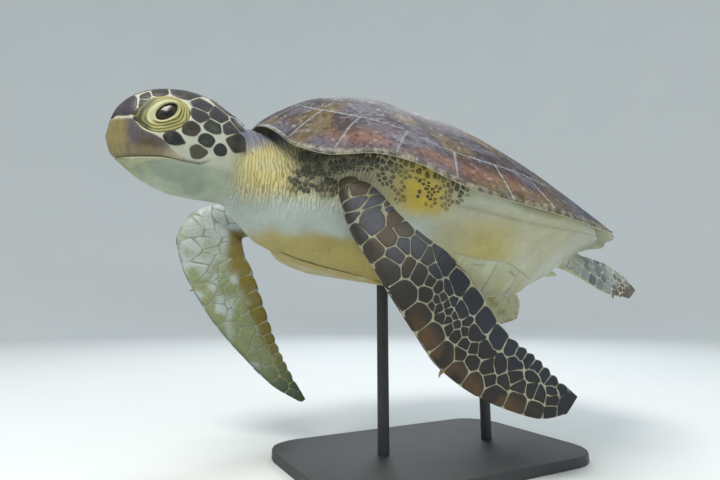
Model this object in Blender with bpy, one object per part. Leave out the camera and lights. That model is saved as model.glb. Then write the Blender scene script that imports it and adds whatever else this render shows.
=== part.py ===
"""Juvenile green sea turtle in a slow swimming stroke, life size, held over a flat base by two rods.

The animal is modelled in its own frame: +X its left, -Y the way it faces, +Z up, with the origin at
the middle of the shell at rim level. One empty carries it, pitched and banked, over the base. In the
formulas a point of the body is (forward, left, up). Metres throughout.
"""
import bpy
import bmesh
import numpy as np
from math import radians
from mathutils import Vector
from mathutils.geometry import delaunay_2d_cdt

# Driving sizes of the animal
SHELL_FRONT = 0.210       # from the widest place to the nape
SHELL_REAR = 0.225        # from the widest place to the tail notch
SHELL_HALF_WIDTH = 0.182
SCUTE_THICKNESS = 0.0035
PLASTRON_THICKNESS = 0.0025
GAP = 0.0003              # clear space between touching pieces
SEAM = 0.0003             # how far each plate's edge stands back from its seam
BED = 0.0006              # clear space between a plate and the skin it lies on
RIM_LIP = 0.008           # how far the marginal plates overhang the skin at the sides
MARGINAL_WIDTH = 0.033
NUCHAL_HALF_WIDTH = 0.028
MARGINAL_PAIRS = 12
GRID = 0.030              # spacing of the points that shape the dome and the belly
LIMB_SIDES = 14           # points round a flipper's section

# Pose over the base
BODY_HEIGHT = 0.262
NOSE_UP = radians(6.3)
BANK_LEFT_DOWN = radians(6.7)

# Stand
BASE_LENGTH = 0.300
BASE_WIDTH = 0.200
BASE_THICKNESS = 0.010
BASE_CORNER = 0.040
ROD_RADIUS = 0.006
ROD_PLACES = {"stand_rod_front": 0.055, "stand_rod_rear": -0.080}

# Head
EYE_RADIUS = 0.0135
EYE_PLACE = (0.2900, 0.0215, 0.0285)
BEAK_BACK = 0.299
MOUTH_AT_TIP = -0.0160
MOUTH_AT_BACK = -0.0108

COLOURS = {
    "carapace": ((0.16, 0.12, 0.12), 0.45),
    "plastron": ((0.80, 0.74, 0.55), 0.50),
    "skin": ((0.55, 0.52, 0.38), 0.60),
    "scales": ((0.09, 0.07, 0.07), 0.45),
    "beak": ((0.35, 0.30, 0.18), 0.40),
    "eye": ((0.02, 0.02, 0.02), 0.08),
    "claw": ((0.55, 0.48, 0.32), 0.40),
    "stand": ((0.05, 0.05, 0.055), 0.40),
}


# ---------------------------------------------------------------- formulas of the body

def curve_through(stations, values):
    """Monotone cubic through the stations, flat beyond the ends."""
    xs = np.asarray(stations, float)
    ys = np.asarray(values, float)
    step = np.diff(xs)
    rise = np.diff(ys) / step
    slope = np.empty_like(ys)
    slope[0] = rise[0]
    slope[-1] = rise[-1]
    product = rise[:-1] * rise[1:]
    total = np.where(product > 0, rise[:-1] + rise[1:], 1.0)
    slope[1:-1] = np.where(product > 0, 2 * product / total, 0.0)

    def at(x):
        x = np.clip(x, xs[0], xs[-1])
        i = np.clip(np.searchsorted(xs, x) - 1, 0, len(xs) - 2)
        t = (x - xs[i]) / step[i]
        return ((1 + 2 * t) * (1 - t) ** 2 * ys[i] + t * (1 - t) ** 2 * step[i] * slope[i]
                + t * t * (3 - 2 * t) * ys[i + 1] + t * t * (t - 1) * step[i] * slope[i + 1])

    return at


rim_level = curve_through([-0.225, -0.17, -0.08, 0.02, 0.065, 0.095, 0.120, 0.145, 0.172, 0.192, 0.202, 0.210],
                          [-0.004, 0.004, -0.002, -0.004, -0.003, 0.003, 0.011, 0.014, 0.010, 0.017, 0.031, 0.045])
crest_level = curve_through([-0.225, -0.205, -0.17, -0.12, -0.05, 0.03, 0.09, 0.15, 0.190, 0.210],
                            [-0.002, 0.014, 0.038, 0.066, 0.092, 0.106, 0.106, 0.092, 0.066, 0.046])
belly_level = curve_through([-0.213, -0.18, -0.14, -0.09, 0.0, 0.08, 0.135, 0.165, 0.185, 0.198],
                            [-0.010, -0.033, -0.053, -0.069, -0.082, -0.085, -0.080, -0.072, -0.040, 0.004])
plastron_half_width = curve_through([-0.170, -0.150, -0.10, -0.05, 0.0, 0.06, 0.10, 0.130, 0.152, 0.165],
                                    [0.022, 0.036, 0.062, 0.092, 0.108, 0.108, 0.088, 0.060, 0.036, 0.016])


def rim_point(angle, inset=0.0):
    """Shell outline in plan: angle 0 at the nape, pi at the tail, left side positive."""
    side = np.sin(angle)
    forward = np.cos(angle) * np.where(np.cos(angle) > 0, SHELL_FRONT, SHELL_REAR)
    left = SHELL_HALF_WIDTH * np.sign(side) * np.abs(side) ** 0.88 * (1 + 0.10 * np.cos(angle))
    radius = np.hypot(forward, left)
    shrink = 1 - inset / radius
    return forward * shrink, left * shrink


ANGLES = np.linspace(0.0, np.pi, 2001)
RIM_X, RIM_Y = rim_point(ANGLES)
RIM_ARC = np.concatenate([[0.0], np.cumsum(np.hypot(np.diff(RIM_X), np.diff(RIM_Y)))])


def half_width(forward):
    """Half width of the shell outline at a place along it."""
    return np.interp(forward, RIM_X[::-1], RIM_Y[::-1])


def shell_top(forward, left):
    """Height of the carapace: a low roof from the rim up to the crest."""
    across = np.clip(np.abs(left) / np.maximum(half_width(forward), 1e-4), 0, 1)
    low = rim_level(forward)
    return low + (crest_level(forward) - low) * (1 - across ** 1.6) ** 0.95


def lip(angle):
    """Overhang of the marginal plates over the skin, wider towards the tail."""
    return RIM_LIP + 0.008 * (0.5 - 0.5 * np.cos(angle)) ** 3 + 0.006 * (0.5 + 0.5 * np.cos(angle)) ** 3


def skin_top(forward, left):
    return shell_top(forward, left) - SCUTE_THICKNESS - BED


def belly(forward, left):
    """Underside of the trunk: flat over the plastron, rising in a smooth step to the skin's edge."""
    edge = np.maximum(half_width(forward) - RIM_LIP, 1e-4)
    inner = np.minimum(plastron_half_width(forward), 0.85 * edge)
    t = np.clip((np.abs(left) - inner) / np.maximum(edge - inner, 1e-4), 0, 1)
    high = rim_level(forward) - SCUTE_THICKNESS - 0.002
    low = np.minimum(belly_level(forward), high)
    return low + (high - low) * t * t * (3 - 2 * t)


# ---------------------------------------------------------------- plan of the plates

def seam_angle(number):
    """Angle of the seam behind marginal plate `number`, counted from the nape."""
    plate = (RIM_ARC[-1] - NUCHAL_HALF_WIDTH) / MARGINAL_PAIRS
    return float(np.interp(NUCHAL_HALF_WIDTH + plate * number, RIM_ARC, ANGLES))


def rim_run(first, last, inset, side, per_plate=3):
    """Points of the outline, moved inwards, from one marginal seam to another."""
    count = max(1, int(round(abs(last - first) * per_plate)))
    points = []
    for k in range(count + 1):
        angle = seam_angle(first + (last - first) * k / count)
        forward, left = rim_point(angle, inset(angle))
        points.append((forward, side * left))
    return points


def on_rim(angle):
    """The plates' outer edge: it flares out a little at the back of each rear plate."""
    arc = np.interp(angle, ANGLES, RIM_ARC) - NUCHAL_HALF_WIDTH
    place = arc / ((RIM_ARC[-1] - NUCHAL_HALF_WIDTH) / MARGINAL_PAIRS)
    rear = np.clip((place - 6.5) / 3.0, 0, 1)
    within = place - np.floor(place + 1e-6)
    return -0.004 * rear * np.sin(np.pi * within) ** 2


def at_skin(angle):
    return lip(angle)


def at_inner_line(angle):
    return MARGINAL_WIDTH + 0.004 * np.sin(angle)


def inner(number, side):
    """Corner where a marginal seam meets the inner line of the marginal row."""
    angle = seam_angle(number)
    forward, left = rim_point(angle, at_inner_line(angle))
    return forward, side * left


# Corners of the vertebral row: seams between plates, and the side corners where costal seams meet it
VERTEBRAL_SEAMS = [(0.125, 0.036), (0.045, 0.036), (-0.040, 0.034), (-0.128, 0.028)]
VERTEBRAL_CORNERS = [(0.085, 0.058), (0.002, 0.060), (-0.085, 0.054)]
LAST_CORNER = (-0.155, 0.046)
COSTAL_ENDS = [1, 4, 6, 8, 11]


def mirrored(points):
    return [(x, -y) for x, y in points]


def top_plates():
    """Plan outline of each plate of the carapace that lies inside the marginal row."""
    plates = {}
    nape_back = [inner(0, 1), (inner(0, 1)[0] + 0.001, 0.0), inner(0, -1)]
    front = rim_run(0, -NUCHAL_HALF_WIDTH * MARGINAL_PAIRS / (RIM_ARC[-1] - NUCHAL_HALF_WIDTH) + 1e-9,
                    at_skin, 1, per_plate=4)
    plates["nuchal_inner"] = front + [(x, -y) for x, y in front[-2::-1]] + nape_back[::-1]
    left_side = rim_run(0, 1, at_inner_line, 1) + [VERTEBRAL_SEAMS[0]]
    plates["vertebral_1"] = left_side + mirrored(left_side[::-1]) + [nape_back[1]]
    for k in range(3):
        left_side = [VERTEBRAL_SEAMS[k], VERTEBRAL_CORNERS[k], VERTEBRAL_SEAMS[k + 1]]
        plates[f"vertebral_{k + 2}"] = left_side + mirrored(left_side[::-1])
    rear = rim_run(11, 12, at_inner_line, 1)
    left_side = [VERTEBRAL_SEAMS[3], LAST_CORNER] + rear
    plates["vertebral_5"] = left_side + mirrored(left_side[-2::-1])
    for side, name in ((1, "left"), (-1, "right")):
        for k in range(4):
            outer = rim_run(COSTAL_ENDS[k], COSTAL_ENDS[k + 1], at_inner_line, side)
            mid = [VERTEBRAL_SEAMS[k]]
            if k < 3:
                mid = [VERTEBRAL_CORNERS[k]] + mid
            else:
                mid = [LAST_CORNER] + mid
            if k > 0:
                mid = mid + [VERTEBRAL_CORNERS[k - 1]]
            plates[f"costal_{name}_{k + 1}"] = outer + [(x, side * y) for x, y in mid]
    return plates


MARGINAL_RUNS = {"front": (0, 4), "bridge": (4, 8), "rear": (8, 12)}


def marginal_strips():
    """Each run of marginal plates as an outer strip (overhang) and an inner strip (over the skin)."""
    strips = {}
    for side, name in ((1, "left"), (-1, "right")):
        for run, (first, last) in MARGINAL_RUNS.items():
            bands = [rim_run(first, last, inset, side) for inset in (on_rim, at_skin, at_inner_line)]
            strips[f"marginals_{run}_{name}", "outer"] = bands[0] + bands[1][::-1]
            strips[f"marginals_{run}_{name}", "inner"] = bands[1] + bands[2][::-1]
    half = NUCHAL_HALF_WIDTH * MARGINAL_PAIRS / (RIM_ARC[-1] - NUCHAL_HALF_WIDTH)
    bands = []
    for inset in (on_nape, at_skin):
        run = rim_run(0, -half + 1e-9, inset, 1, per_plate=4)
        bands.append(run + [(x, -y) for x, y in run[-2::-1]])
    strips["nuchal", "outer"] = bands[0] + bands[1][::-1]
    return strips


def on_nape(angle):
    """The nape's edge, very slightly hollow in the middle."""
    return 0.003 * np.cos(np.clip(angle / seam_angle(0), -1, 1) * np.pi / 2) ** 2


# Plastron seams across the body, from the throat to the tail, and the bridge
PLASTRON_SEAMS = [0.165, 0.132, 0.092, 0.030, -0.045, -0.105, -0.168]
PLASTRON_NAMES = ["gulars", "humerals", "pectorals", "abdominals", "femorals", "anals"]
BRIDGE_FRONT = 0.088
BRIDGE_REAR = -0.078
BRIDGE_WIDTH = 0.030
EDGE_PLACES = sorted(PLASTRON_SEAMS + [BRIDGE_FRONT, BRIDGE_REAR, 0.150, 0.112, 0.060, -0.010, -0.138],
                     reverse=True)


def plastron_edge(front, rear):
    """Points of the plastron's left edge between two places along it."""
    return [(x, float(plastron_half_width(x))) for x in EDGE_PLACES if rear <= x <= front]


def belly_plates():
    """Plan outline of each pair of plastron plates and of each bridge."""
    plates = {}
    for k, name in enumerate(PLASTRON_NAMES):
        edge = plastron_edge(PLASTRON_SEAMS[k], PLASTRON_SEAMS[k + 1])
        plates["plastron_" + name] = edge + mirrored(edge[::-1])
    near = plastron_edge(BRIDGE_FRONT, BRIDGE_REAR)
    far = [(x * 0.88 + 0.001, y + BRIDGE_WIDTH) for x, y in near]
    for side, name in ((1, "left"), (-1, "right")):
        plates["bridge_" + name] = [(x, side * y) for x, y in near + far[::-1]]
    return plates


# ---------------------------------------------------------------- mesh tools

def subdivided(outline, spacing):
    """The outline with points added so that no edge is longer than the spacing."""
    points = []
    for (x0, y0), (x1, y1) in zip(outline, outline[1:] + outline[:1]):
        pieces = max(1, int(np.ceil(np.hypot(x1 - x0, y1 - y0) / spacing - 1e-6)))
        for k in range(pieces):
            points.append((x0 + (x1 - x0) * k / pieces, y0 + (y1 - y0) * k / pieces))
    return points


def inside(outline, points):
    """Which of the points lie inside the outline (even-odd rule)."""
    result = np.zeros(len(points), bool)
    x, y = points[:, 0], points[:, 1]
    for (x0, y0), (x1, y1) in zip(outline, outline[1:] + outline[:1]):
        crosses = (y0 > y) != (y1 > y)
        if y0 != y1:
            result ^= crosses & (x < (x1 - x0) * (y - y0) / (y1 - y0) + x0)
    return result


def cells(outlines, loop, spacing):
    """Triangles over the loop that follow every outline's edges.

    Gives the plan points, the triangles and, for each outline, which triangles lie in it.
    """
    points = []
    index = {}
    edges = set()

    def number(point):
        key = (round(point[0], 6), round(point[1], 6))
        if key not in index:
            index[key] = len(points)
            points.append(key)
        return index[key]

    for outline in list(outlines.values()) + [loop]:
        ring = [number(p) for p in subdivided(outline, spacing)]
        edges.update(tuple(sorted(pair)) for pair in zip(ring, ring[1:] + ring[:1]) if pair[0] != pair[1])
    fixed = np.array(points)
    rows = np.arange(-0.24, 0.24, spacing * 0.87)
    inner_points = []
    for k, x in enumerate(rows):
        inner_points += [(x, y) for y in np.arange(-0.24, 0.24, spacing) + spacing / 2 * (k % 2)]
    inner_points = np.array(inner_points)
    distance = np.min(np.hypot(inner_points[:, None, 0] - fixed[None, :, 0],
                               inner_points[:, None, 1] - fixed[None, :, 1]), axis=1)
    keep = inside(loop, inner_points) & (distance > 0.62 * spacing)
    for point in inner_points[keep]:
        number(point)
    made = delaunay_2d_cdt([Vector(p) for p in points], sorted(edges), [], 0, 1e-7)
    plan = np.array([tuple(v) for v in made[0]])
    triangles = np.array([list(face) for face in made[2]])
    middle = plan[triangles].mean(axis=1)
    triangles = triangles[inside(loop, middle)]
    middle = plan[triangles].mean(axis=1)
    corner = plan[triangles]
    turn = np.cross(corner[:, 1] - corner[:, 0], corner[:, 2] - corner[:, 0])
    triangles[turn < 0] = triangles[turn < 0][:, ::-1]
    owner = {name: inside(outline, middle) for name, outline in outlines.items()}
    return plan, triangles, owner


def boundary(triangles):
    """Directed edges that only one triangle uses."""
    directed = np.concatenate([triangles[:, [0, 1]], triangles[:, [1, 2]], triangles[:, [2, 0]]])
    present = {tuple(edge) for edge in directed}
    return [edge for edge in present if (edge[1], edge[0]) not in present]


def stood_back(plan, triangles, distance):
    """The plan with the triangles' outer edge moved inwards by the distance."""
    moved = plan.copy()
    normals = {}
    for a, b in boundary(triangles):
        direction = plan[b] - plan[a]
        normal = np.array([-direction[1], direction[0]]) / np.hypot(*direction)
        for end in (a, b):
            normals.setdefault(end, []).append(normal)
    for vertex, pair in normals.items():
        mean = np.sum(pair, axis=0)
        mean /= max(np.hypot(*mean), 1e-9)
        spread = max(float(np.dot(mean, pair[0])), 0.4)
        moved[vertex] = plan[vertex] + mean * distance / spread
    return moved


def slab(plan, triangles, top, bottom):
    """Closed mesh between two heights over the triangles: its points and faces."""
    used = np.unique(triangles)
    place = {int(v): k for k, v in enumerate(used)}
    count = len(used)
    upper = np.column_stack([plan[used], top[used]])
    lower = np.column_stack([plan[used], bottom[used]])
    faces = [[place[int(v)] for v in triangle] for triangle in triangles]
    faces += [[place[int(v)] + count for v in triangle[::-1]] for triangle in triangles]
    for a, b in boundary(triangles):
        a, b = place[int(a)], place[int(b)]
        faces.append([b, a, a + count])
        faces.append([b, a + count, b + count])
    return np.concatenate([upper, lower]), faces


def to_local(points):
    """(forward, left, up) to the object's own axes."""
    points = np.asarray(points, float)
    return np.column_stack([points[:, 1], -points[:, 0], points[:, 2]])


def add_object(name, points, faces, slot, parent, smooth=True):
    """A named object with its own material, its faces turned outwards."""
    mesh = bpy.data.meshes.new(name)
    mesh.from_pydata([tuple(p) for p in to_local(points)], [], faces)
    work = bmesh.new()
    work.from_mesh(mesh)
    bmesh.ops.remove_doubles(work, verts=work.verts, dist=1e-6)
    bmesh.ops.triangulate(work, faces=work.faces)
    bmesh.ops.recalc_face_normals(work, faces=work.faces)
    work.to_mesh(mesh)
    work.free()
    mesh.validate()
    if smooth:
        mesh.shade_smooth()
        mesh.set_sharp_from_angle(angle=radians(45))
    item = bpy.data.objects.new(name, mesh)
    bpy.context.collection.objects.link(item)
    item.parent = parent
    colour, roughness = COLOURS[slot]
    material = bpy.data.materials.new(name)
    material.use_nodes = True
    shader = material.node_tree.nodes["Principled BSDF"]
    shader.inputs["Base Color"].default_value = (*colour, 1.0)
    shader.inputs["Roughness"].default_value = roughness
    mesh.materials.append(material)
    return item


def add_cutter(name, points, faces, parent):
    """A closed shape that only cuts others."""
    item = add_object(name, points, faces, "skin", parent, smooth=False)
    item.hide_render = True
    item.display_type = "WIRE"
    return item


def cut(item, cutter, operation="DIFFERENCE"):
    modifier = item.modifiers.new(operation.title(), "BOOLEAN")
    modifier.operation = operation
    modifier.solver = "EXACT"
    modifier.object = cutter


def tube_faces(rings, sides):
    """Faces of rings of points, closed at both ends by a fan round a last point."""
    faces = []
    for ring in range(rings - 1):
        for k in range(sides):
            a = ring * sides + k
            b = ring * sides + (k + 1) % sides
            faces += [[a, b, b + sides], [a, b + sides, a + sides]]
    start, end = rings * sides, rings * sides + 1
    last = (rings - 1) * sides
    for k in range(sides):
        faces.append([(k + 1) % sides, k, start])
        faces.append([last + k, last + (k + 1) % sides, end])
    return faces


def loft(rings):
    """Points and faces of a closed solid through equal rings, given as (rings, sides, 3)."""
    rings = np.asarray(rings)
    count, sides = rings.shape[:2]
    points = np.concatenate([rings.reshape(-1, 3), rings[:1].mean(axis=1), rings[-1:].mean(axis=1)])
    return points, tube_faces(count, sides)


# ---------------------------------------------------------------- shell and trunk

def build_shell(turtle):
    """Carapace plates, the skin-covered trunk under them, plastron plates and bridges."""
    strips = marginal_strips()
    inner_plates = top_plates()
    outlines = {("strip",) + key: outline for key, outline in strips.items()}
    outlines.update({("plate", name): outline for name, outline in inner_plates.items()})
    rim = outer_loop(on_rim, on_nape)
    skin_loop = outer_loop(at_skin, at_skin)
    plan, triangles, owner = cells(outlines, rim, GRID)
    top = shell_top(plan[:, 0], plan[:, 1])

    groups = {}
    for key, mask in owner.items():
        name = key[1].replace("nuchal_inner", "nuchal")
        groups[name] = groups.get(name, np.zeros(len(triangles), bool)) | mask
    for name, mask in groups.items():
        moved = stood_back(plan, triangles[mask], SEAM)
        height = shell_top(moved[:, 0], moved[:, 1])
        points, faces = slab(moved, triangles[mask], height, height - SCUTE_THICKNESS)
        add_object(name, points, faces, "carapace", turtle)

    on_skin = np.zeros(len(triangles), bool)
    for key, mask in owner.items():
        if key[-1] != "outer":
            on_skin |= mask
    trunk_top = (plan, triangles[on_skin])

    plates = belly_plates()
    low_plan, low_triangles, low_owner = cells(plates, skin_loop, GRID)
    low = belly(low_plan[:, 0], low_plan[:, 1])
    for name, mask in low_owner.items():
        moved = stood_back(low_plan, low_triangles[mask], SEAM)
        under = belly(moved[:, 0], moved[:, 1]) - BED
        points, faces = slab(moved, low_triangles[mask], under, under - PLASTRON_THICKNESS)
        add_object(name, points, faces, "plastron", turtle)
    points, faces = trunk_mesh(trunk_top, (low_plan, low_triangles), 0.0)
    trunk = add_object("trunk", points, faces, "skin", turtle)
    points, faces = trunk_mesh(trunk_top, (low_plan, low_triangles), GAP)
    cutter = add_cutter("trunk_cutter", points, faces, turtle)
    lid = lid_cutter(plan, triangles, top, turtle)
    tray = tray_cutter(low_plan, low_triangles, low_owner, low, turtle)
    return trunk, [cutter, lid, tray]


def outer_loop(inset, nape_inset):
    """Whole outline in plan, anticlockwise, through the same points as the marginal runs."""
    half = NUCHAL_HALF_WIDTH * MARGINAL_PAIRS / (RIM_ARC[-1] - NUCHAL_HALF_WIDTH)
    nape = rim_run(0, -half + 1e-9, nape_inset, 1, per_plate=4)[::-1]
    left = nape[:-1]
    for first, last in MARGINAL_RUNS.values():
        left += rim_run(first, last, inset, 1)[:-1]
    left.append(rim_run(11, 12, inset, 1)[-1])
    return left + [(x, -y) for x, y in left[-2:0:-1]]


def trunk_mesh(upper, lower, grow):
    """The trunk: its top follows the plates' undersides, its bottom is the belly."""
    plan, triangles = upper
    used = np.unique(triangles)
    top = np.column_stack([plan[used], skin_top(plan[used, 0], plan[used, 1]) + 0.5 * grow])
    place = {int(v): k for k, v in enumerate(used)}
    faces = [[place[int(v)] for v in triangle] for triangle in triangles]
    low_plan, low_triangles = lower
    low_used = np.unique(low_triangles)
    floor = np.minimum(belly(low_plan[low_used, 0], low_plan[low_used, 1]),
                       skin_top(low_plan[low_used, 0], low_plan[low_used, 1]) - 0.0015) - grow
    low_place = {int(v): k + len(used) for k, v in enumerate(low_used)}
    faces += [[low_place[int(v)] for v in triangle[::-1]] for triangle in low_triangles]
    by_plan = {(round(low_plan[v, 0], 5), round(low_plan[v, 1], 5)): low_place[int(v)] for v in low_used}
    for a, b in boundary(triangles):
        low_a = by_plan[round(plan[a, 0], 5), round(plan[a, 1], 5)]
        low_b = by_plan[round(plan[b, 0], 5), round(plan[b, 1], 5)]
        faces.append([place[int(b)], place[int(a)], low_a])
        faces.append([place[int(b)], low_a, low_b])
    points = np.concatenate([top, np.column_stack([low_plan[low_used], floor])])
    if grow:
        points[:, :2] *= 1 + grow / SHELL_HALF_WIDTH
    return points, faces


def lid_cutter(plan, triangles, top, turtle):
    """All the room of the carapace plates and above, less than a gap below them."""
    wide = plan * (1 + 0.002 / SHELL_HALF_WIDTH)
    points, faces = slab(wide, triangles, top + 0.08, top - SCUTE_THICKNESS - GAP)
    return add_cutter("carapace_cutter", points, faces, turtle)


def tray_cutter(plan, triangles, owner, low, turtle):
    """All the room of the plastron plates and bridges, a little grown."""
    mask = np.zeros(len(triangles), bool)
    for plate in owner.values():
        mask |= plate
    wide = stood_back(plan, triangles[mask], -GAP)
    points, faces = slab(wide, triangles[mask], low + GAP, low - BED - PLASTRON_THICKNESS - GAP)
    return add_cutter("plastron_cutter", points, faces, turtle)


# ---------------------------------------------------------------- limbs

# Each row is one station from the shoulder or hip to the tip:
# leading edge (forward, left, up), trailing edge (forward, left, up), greatest thickness
LEFT_FRONT = [
    (0.150, 0.078, 0.004, 0.112, 0.088, 0.008, 0.030),
    (0.155, 0.107, -0.018, 0.110, 0.115, -0.007, 0.028),
    (0.145, 0.116, -0.047, 0.091, 0.126, -0.025, 0.022),
    (0.121, 0.127, -0.079, 0.058, 0.136, -0.051, 0.018),
    (0.086, 0.130, -0.116, 0.022, 0.138, -0.078, 0.014),
    (0.049, 0.131, -0.150, -0.014, 0.142, -0.113, 0.010),
    (-0.002, 0.139, -0.174, -0.042, 0.150, -0.129, 0.006),
    (-0.049, 0.151, -0.183, -0.066, 0.158, -0.147, 0.004),
    (-0.074, 0.159, -0.176, -0.081, 0.164, -0.158, 0.0025),
]
RIGHT_FRONT = [
    (0.140, -0.085, 0.000, 0.112, -0.095, -0.036, 0.032),
    (0.180, -0.140, -0.010, 0.142, -0.135, -0.050, 0.030),
    (0.224, -0.166, -0.032, 0.163, -0.150, -0.058, 0.024),
    (0.240, -0.162, -0.067, 0.161, -0.140, -0.072, 0.020),
    (0.230, -0.156, -0.099, 0.148, -0.126, -0.097, 0.016),
    (0.190, -0.139, -0.155, 0.129, -0.116, -0.136, 0.011),
    (0.145, -0.122, -0.197, 0.109, -0.106, -0.176, 0.007),
    (0.101, -0.106, -0.229, 0.089, -0.097, -0.207, 0.004),
    (0.073, -0.092, -0.240, 0.068, -0.090, -0.235, 0.0025),
]
LEFT_HIND = [
    (-0.122, 0.068, -0.030, -0.150, 0.050, -0.010, 0.024),
    (-0.154, 0.071, -0.036, -0.200, 0.053, -0.016, 0.020),
    (-0.186, 0.075, -0.047, -0.235, 0.057, -0.019, 0.012),
    (-0.223, 0.079, -0.058, -0.261, 0.067, -0.030, 0.006),
    (-0.257, 0.082, -0.059, -0.274, 0.078, -0.046, 0.003),
]
RIGHT_HIND = [
    (-0.118, -0.088, -0.040, -0.140, -0.060, -0.022, 0.024),
    (-0.142, -0.092, -0.062, -0.172, -0.058, -0.040, 0.020),
    (-0.160, -0.090, -0.084, -0.200, -0.056, -0.060, 0.012),
    (-0.182, -0.082, -0.106, -0.219, -0.055, -0.084, 0.006),
    (-0.204, -0.072, -0.118, -0.222, -0.061, -0.108, 0.003),
]


def flipper(stations, rings, grow=0.0):
    """Lens-shaped sections swept through the stations, thickest a third back from the leading edge."""
    table = np.array(stations)
    along = np.linspace(0, 1, len(table))
    columns = [curve_through(along, table[:, k]) for k in range(table.shape[1])]
    s = np.linspace(0, 1, rings)
    lead = np.column_stack([columns[k](s) for k in range(3)])
    trail = np.column_stack([columns[k](s) for k in range(3, 6)])
    thick = columns[6](s) + 2 * grow
    middle = (lead + trail) / 2
    tangent = np.gradient(middle, axis=0)
    chord = trail - lead
    width = np.linalg.norm(chord, axis=1, keepdims=True)
    across = chord / width
    normal = np.cross(tangent, across)
    normal /= np.linalg.norm(normal, axis=1, keepdims=True)
    turn = np.arange(LIMB_SIDES) * 2 * np.pi / LIMB_SIDES
    back = 0.5 - 0.5 * np.cos(turn)
    lens = np.sin(turn) * (1.25 - 0.75 * back)
    result = lead[:, None] + across[:, None] * (back[None, :, None] * (width[:, None] + 2 * grow) - grow)
    return result + normal[:, None] * (lens[None, :, None] * thick[:, None, None] / 2)


def build_limbs(turtle, cutters):
    """The four flippers, each cut where it comes out of the trunk, and their claws."""
    limbs = {
        "front_flipper_left": (LEFT_FRONT, 15, 0.63),
        "front_flipper_right": (RIGHT_FRONT, 15, 0.56),
        "hind_flipper_left": (LEFT_HIND, 9, 0.80),
        "hind_flipper_right": (RIGHT_HIND, 9, 0.80),
    }
    for name, (stations, rings, claw_at) in limbs.items():
        points, faces = loft(flipper(stations, rings))
        item = add_object(name, points, faces, "scales", turtle)
        for cutter in cutters:
            cut(item, cutter)
        grown = add_cutter(name + "_cutter", *loft(flipper(stations, rings, GAP)), turtle)
        build_claw(name.replace("flipper", "claw"), stations, claw_at, grown, turtle)


def build_claw(name, stations, place, grown, turtle):
    """A small curved horn cone on the leading edge, a fifth of it sunk in the flipper before the cut."""
    table = np.array(stations)
    at = place * (len(table) - 1)
    low = int(at)
    blend = at - low
    here = table[low] * (1 - blend) + table[low + 1] * blend
    lead, trail = here[:3], here[3:6]
    ahead = table[low + 1, :3] - table[low, :3]
    ahead /= np.linalg.norm(ahead)
    outward = (lead - trail) / np.linalg.norm(lead - trail)
    length, radius, sides = 0.011, 0.0028, 8
    side = np.cross(ahead, outward)
    turn = np.arange(sides) * 2 * np.pi / sides
    rings = []
    for t in (0.0, 0.35, 0.7, 1.0):
        centre = lead + outward * (length * t - 0.004) + ahead * (0.005 * t * t)
        r = radius * (1 - 0.9 * t)
        rings.append(centre + r * (np.cos(turn)[:, None] * ahead + np.sin(turn)[:, None] * side))
    item = add_object(name, *loft(rings), "claw", turtle)
    cut(item, grown)


# ---------------------------------------------------------------- head, neck and tail

head_top = curve_through([0.214, 0.222, 0.238, 0.256, 0.274, 0.291, 0.303, 0.3176, 0.3255, 0.331, 0.333],
                         [0.042, 0.046, 0.053, 0.0585, 0.0597, 0.057, 0.0532, 0.044, 0.035, 0.023, 0.004])
head_low = curve_through([0.214, 0.225, 0.240, 0.256, 0.273, 0.290, 0.308, 0.319, 0.327, 0.333],
                         [-0.034, -0.036, -0.0365, -0.0375, -0.0370, -0.0330, -0.0250, -0.0180, -0.0110, 0.002])
head_side = curve_through([0.214, 0.225, 0.245, 0.265, 0.285, 0.300, 0.312, 0.322, 0.329, 0.333],
                          [0.034, 0.038, 0.0405, 0.0405, 0.0370, 0.0310, 0.0240, 0.0165, 0.0090, 0.0010])


def head_rings():
    """Sections of the head from the nape to the beak's tip: wide jaw, flatter crown."""
    sides = 20
    places = np.concatenate([np.linspace(0.214, 0.310, 11), [0.3165, 0.322, 0.3265, 0.330, 0.3325]])
    turn = np.arange(sides) * 2 * np.pi / sides
    rings = []
    for x in places:
        top, low, wide = head_top(x), head_low(x), head_side(x)
        level = low + 0.46 * (top - low)
        up = np.sin(turn)
        out = np.sign(np.cos(turn)) * np.abs(np.cos(turn)) ** 0.85
        height = np.where(up > 0, (top - level) * up, (level - low) * up)
        narrow = 1 - 0.10 * np.clip(-up, 0, 1)
        rings.append(np.column_stack([np.full(sides, x), wide * out * narrow, level + height]))
    return rings


def wedge(x_back, x_front, low_back, low_front, high_back, high_front):
    """A block across the head between two sloping planes."""
    half = 0.06
    points = []
    for y in (-half, half):
        points += [(x_back, y, low_back), (x_front, y, low_front),
                   (x_front, y, high_front), (x_back, y, high_back)]
    faces = [[0, 1, 2, 3], [7, 6, 5, 4], [0, 4, 5, 1], [1, 5, 6, 2], [2, 6, 7, 3], [3, 7, 4, 0]]
    return np.array(points), faces


def ball(radius, centre, levels=7, sides=16):
    """A sphere with its poles pointing left and right."""
    rings = []
    for polar in np.linspace(0.12, np.pi - 0.12, levels):
        turn = np.arange(sides) * 2 * np.pi / sides
        rings.append(np.column_stack([np.cos(turn) * np.sin(polar), np.full(sides, np.cos(polar)),
                                      np.sin(turn) * np.sin(polar)]) * radius + centre)
    return loft(rings)


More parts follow.
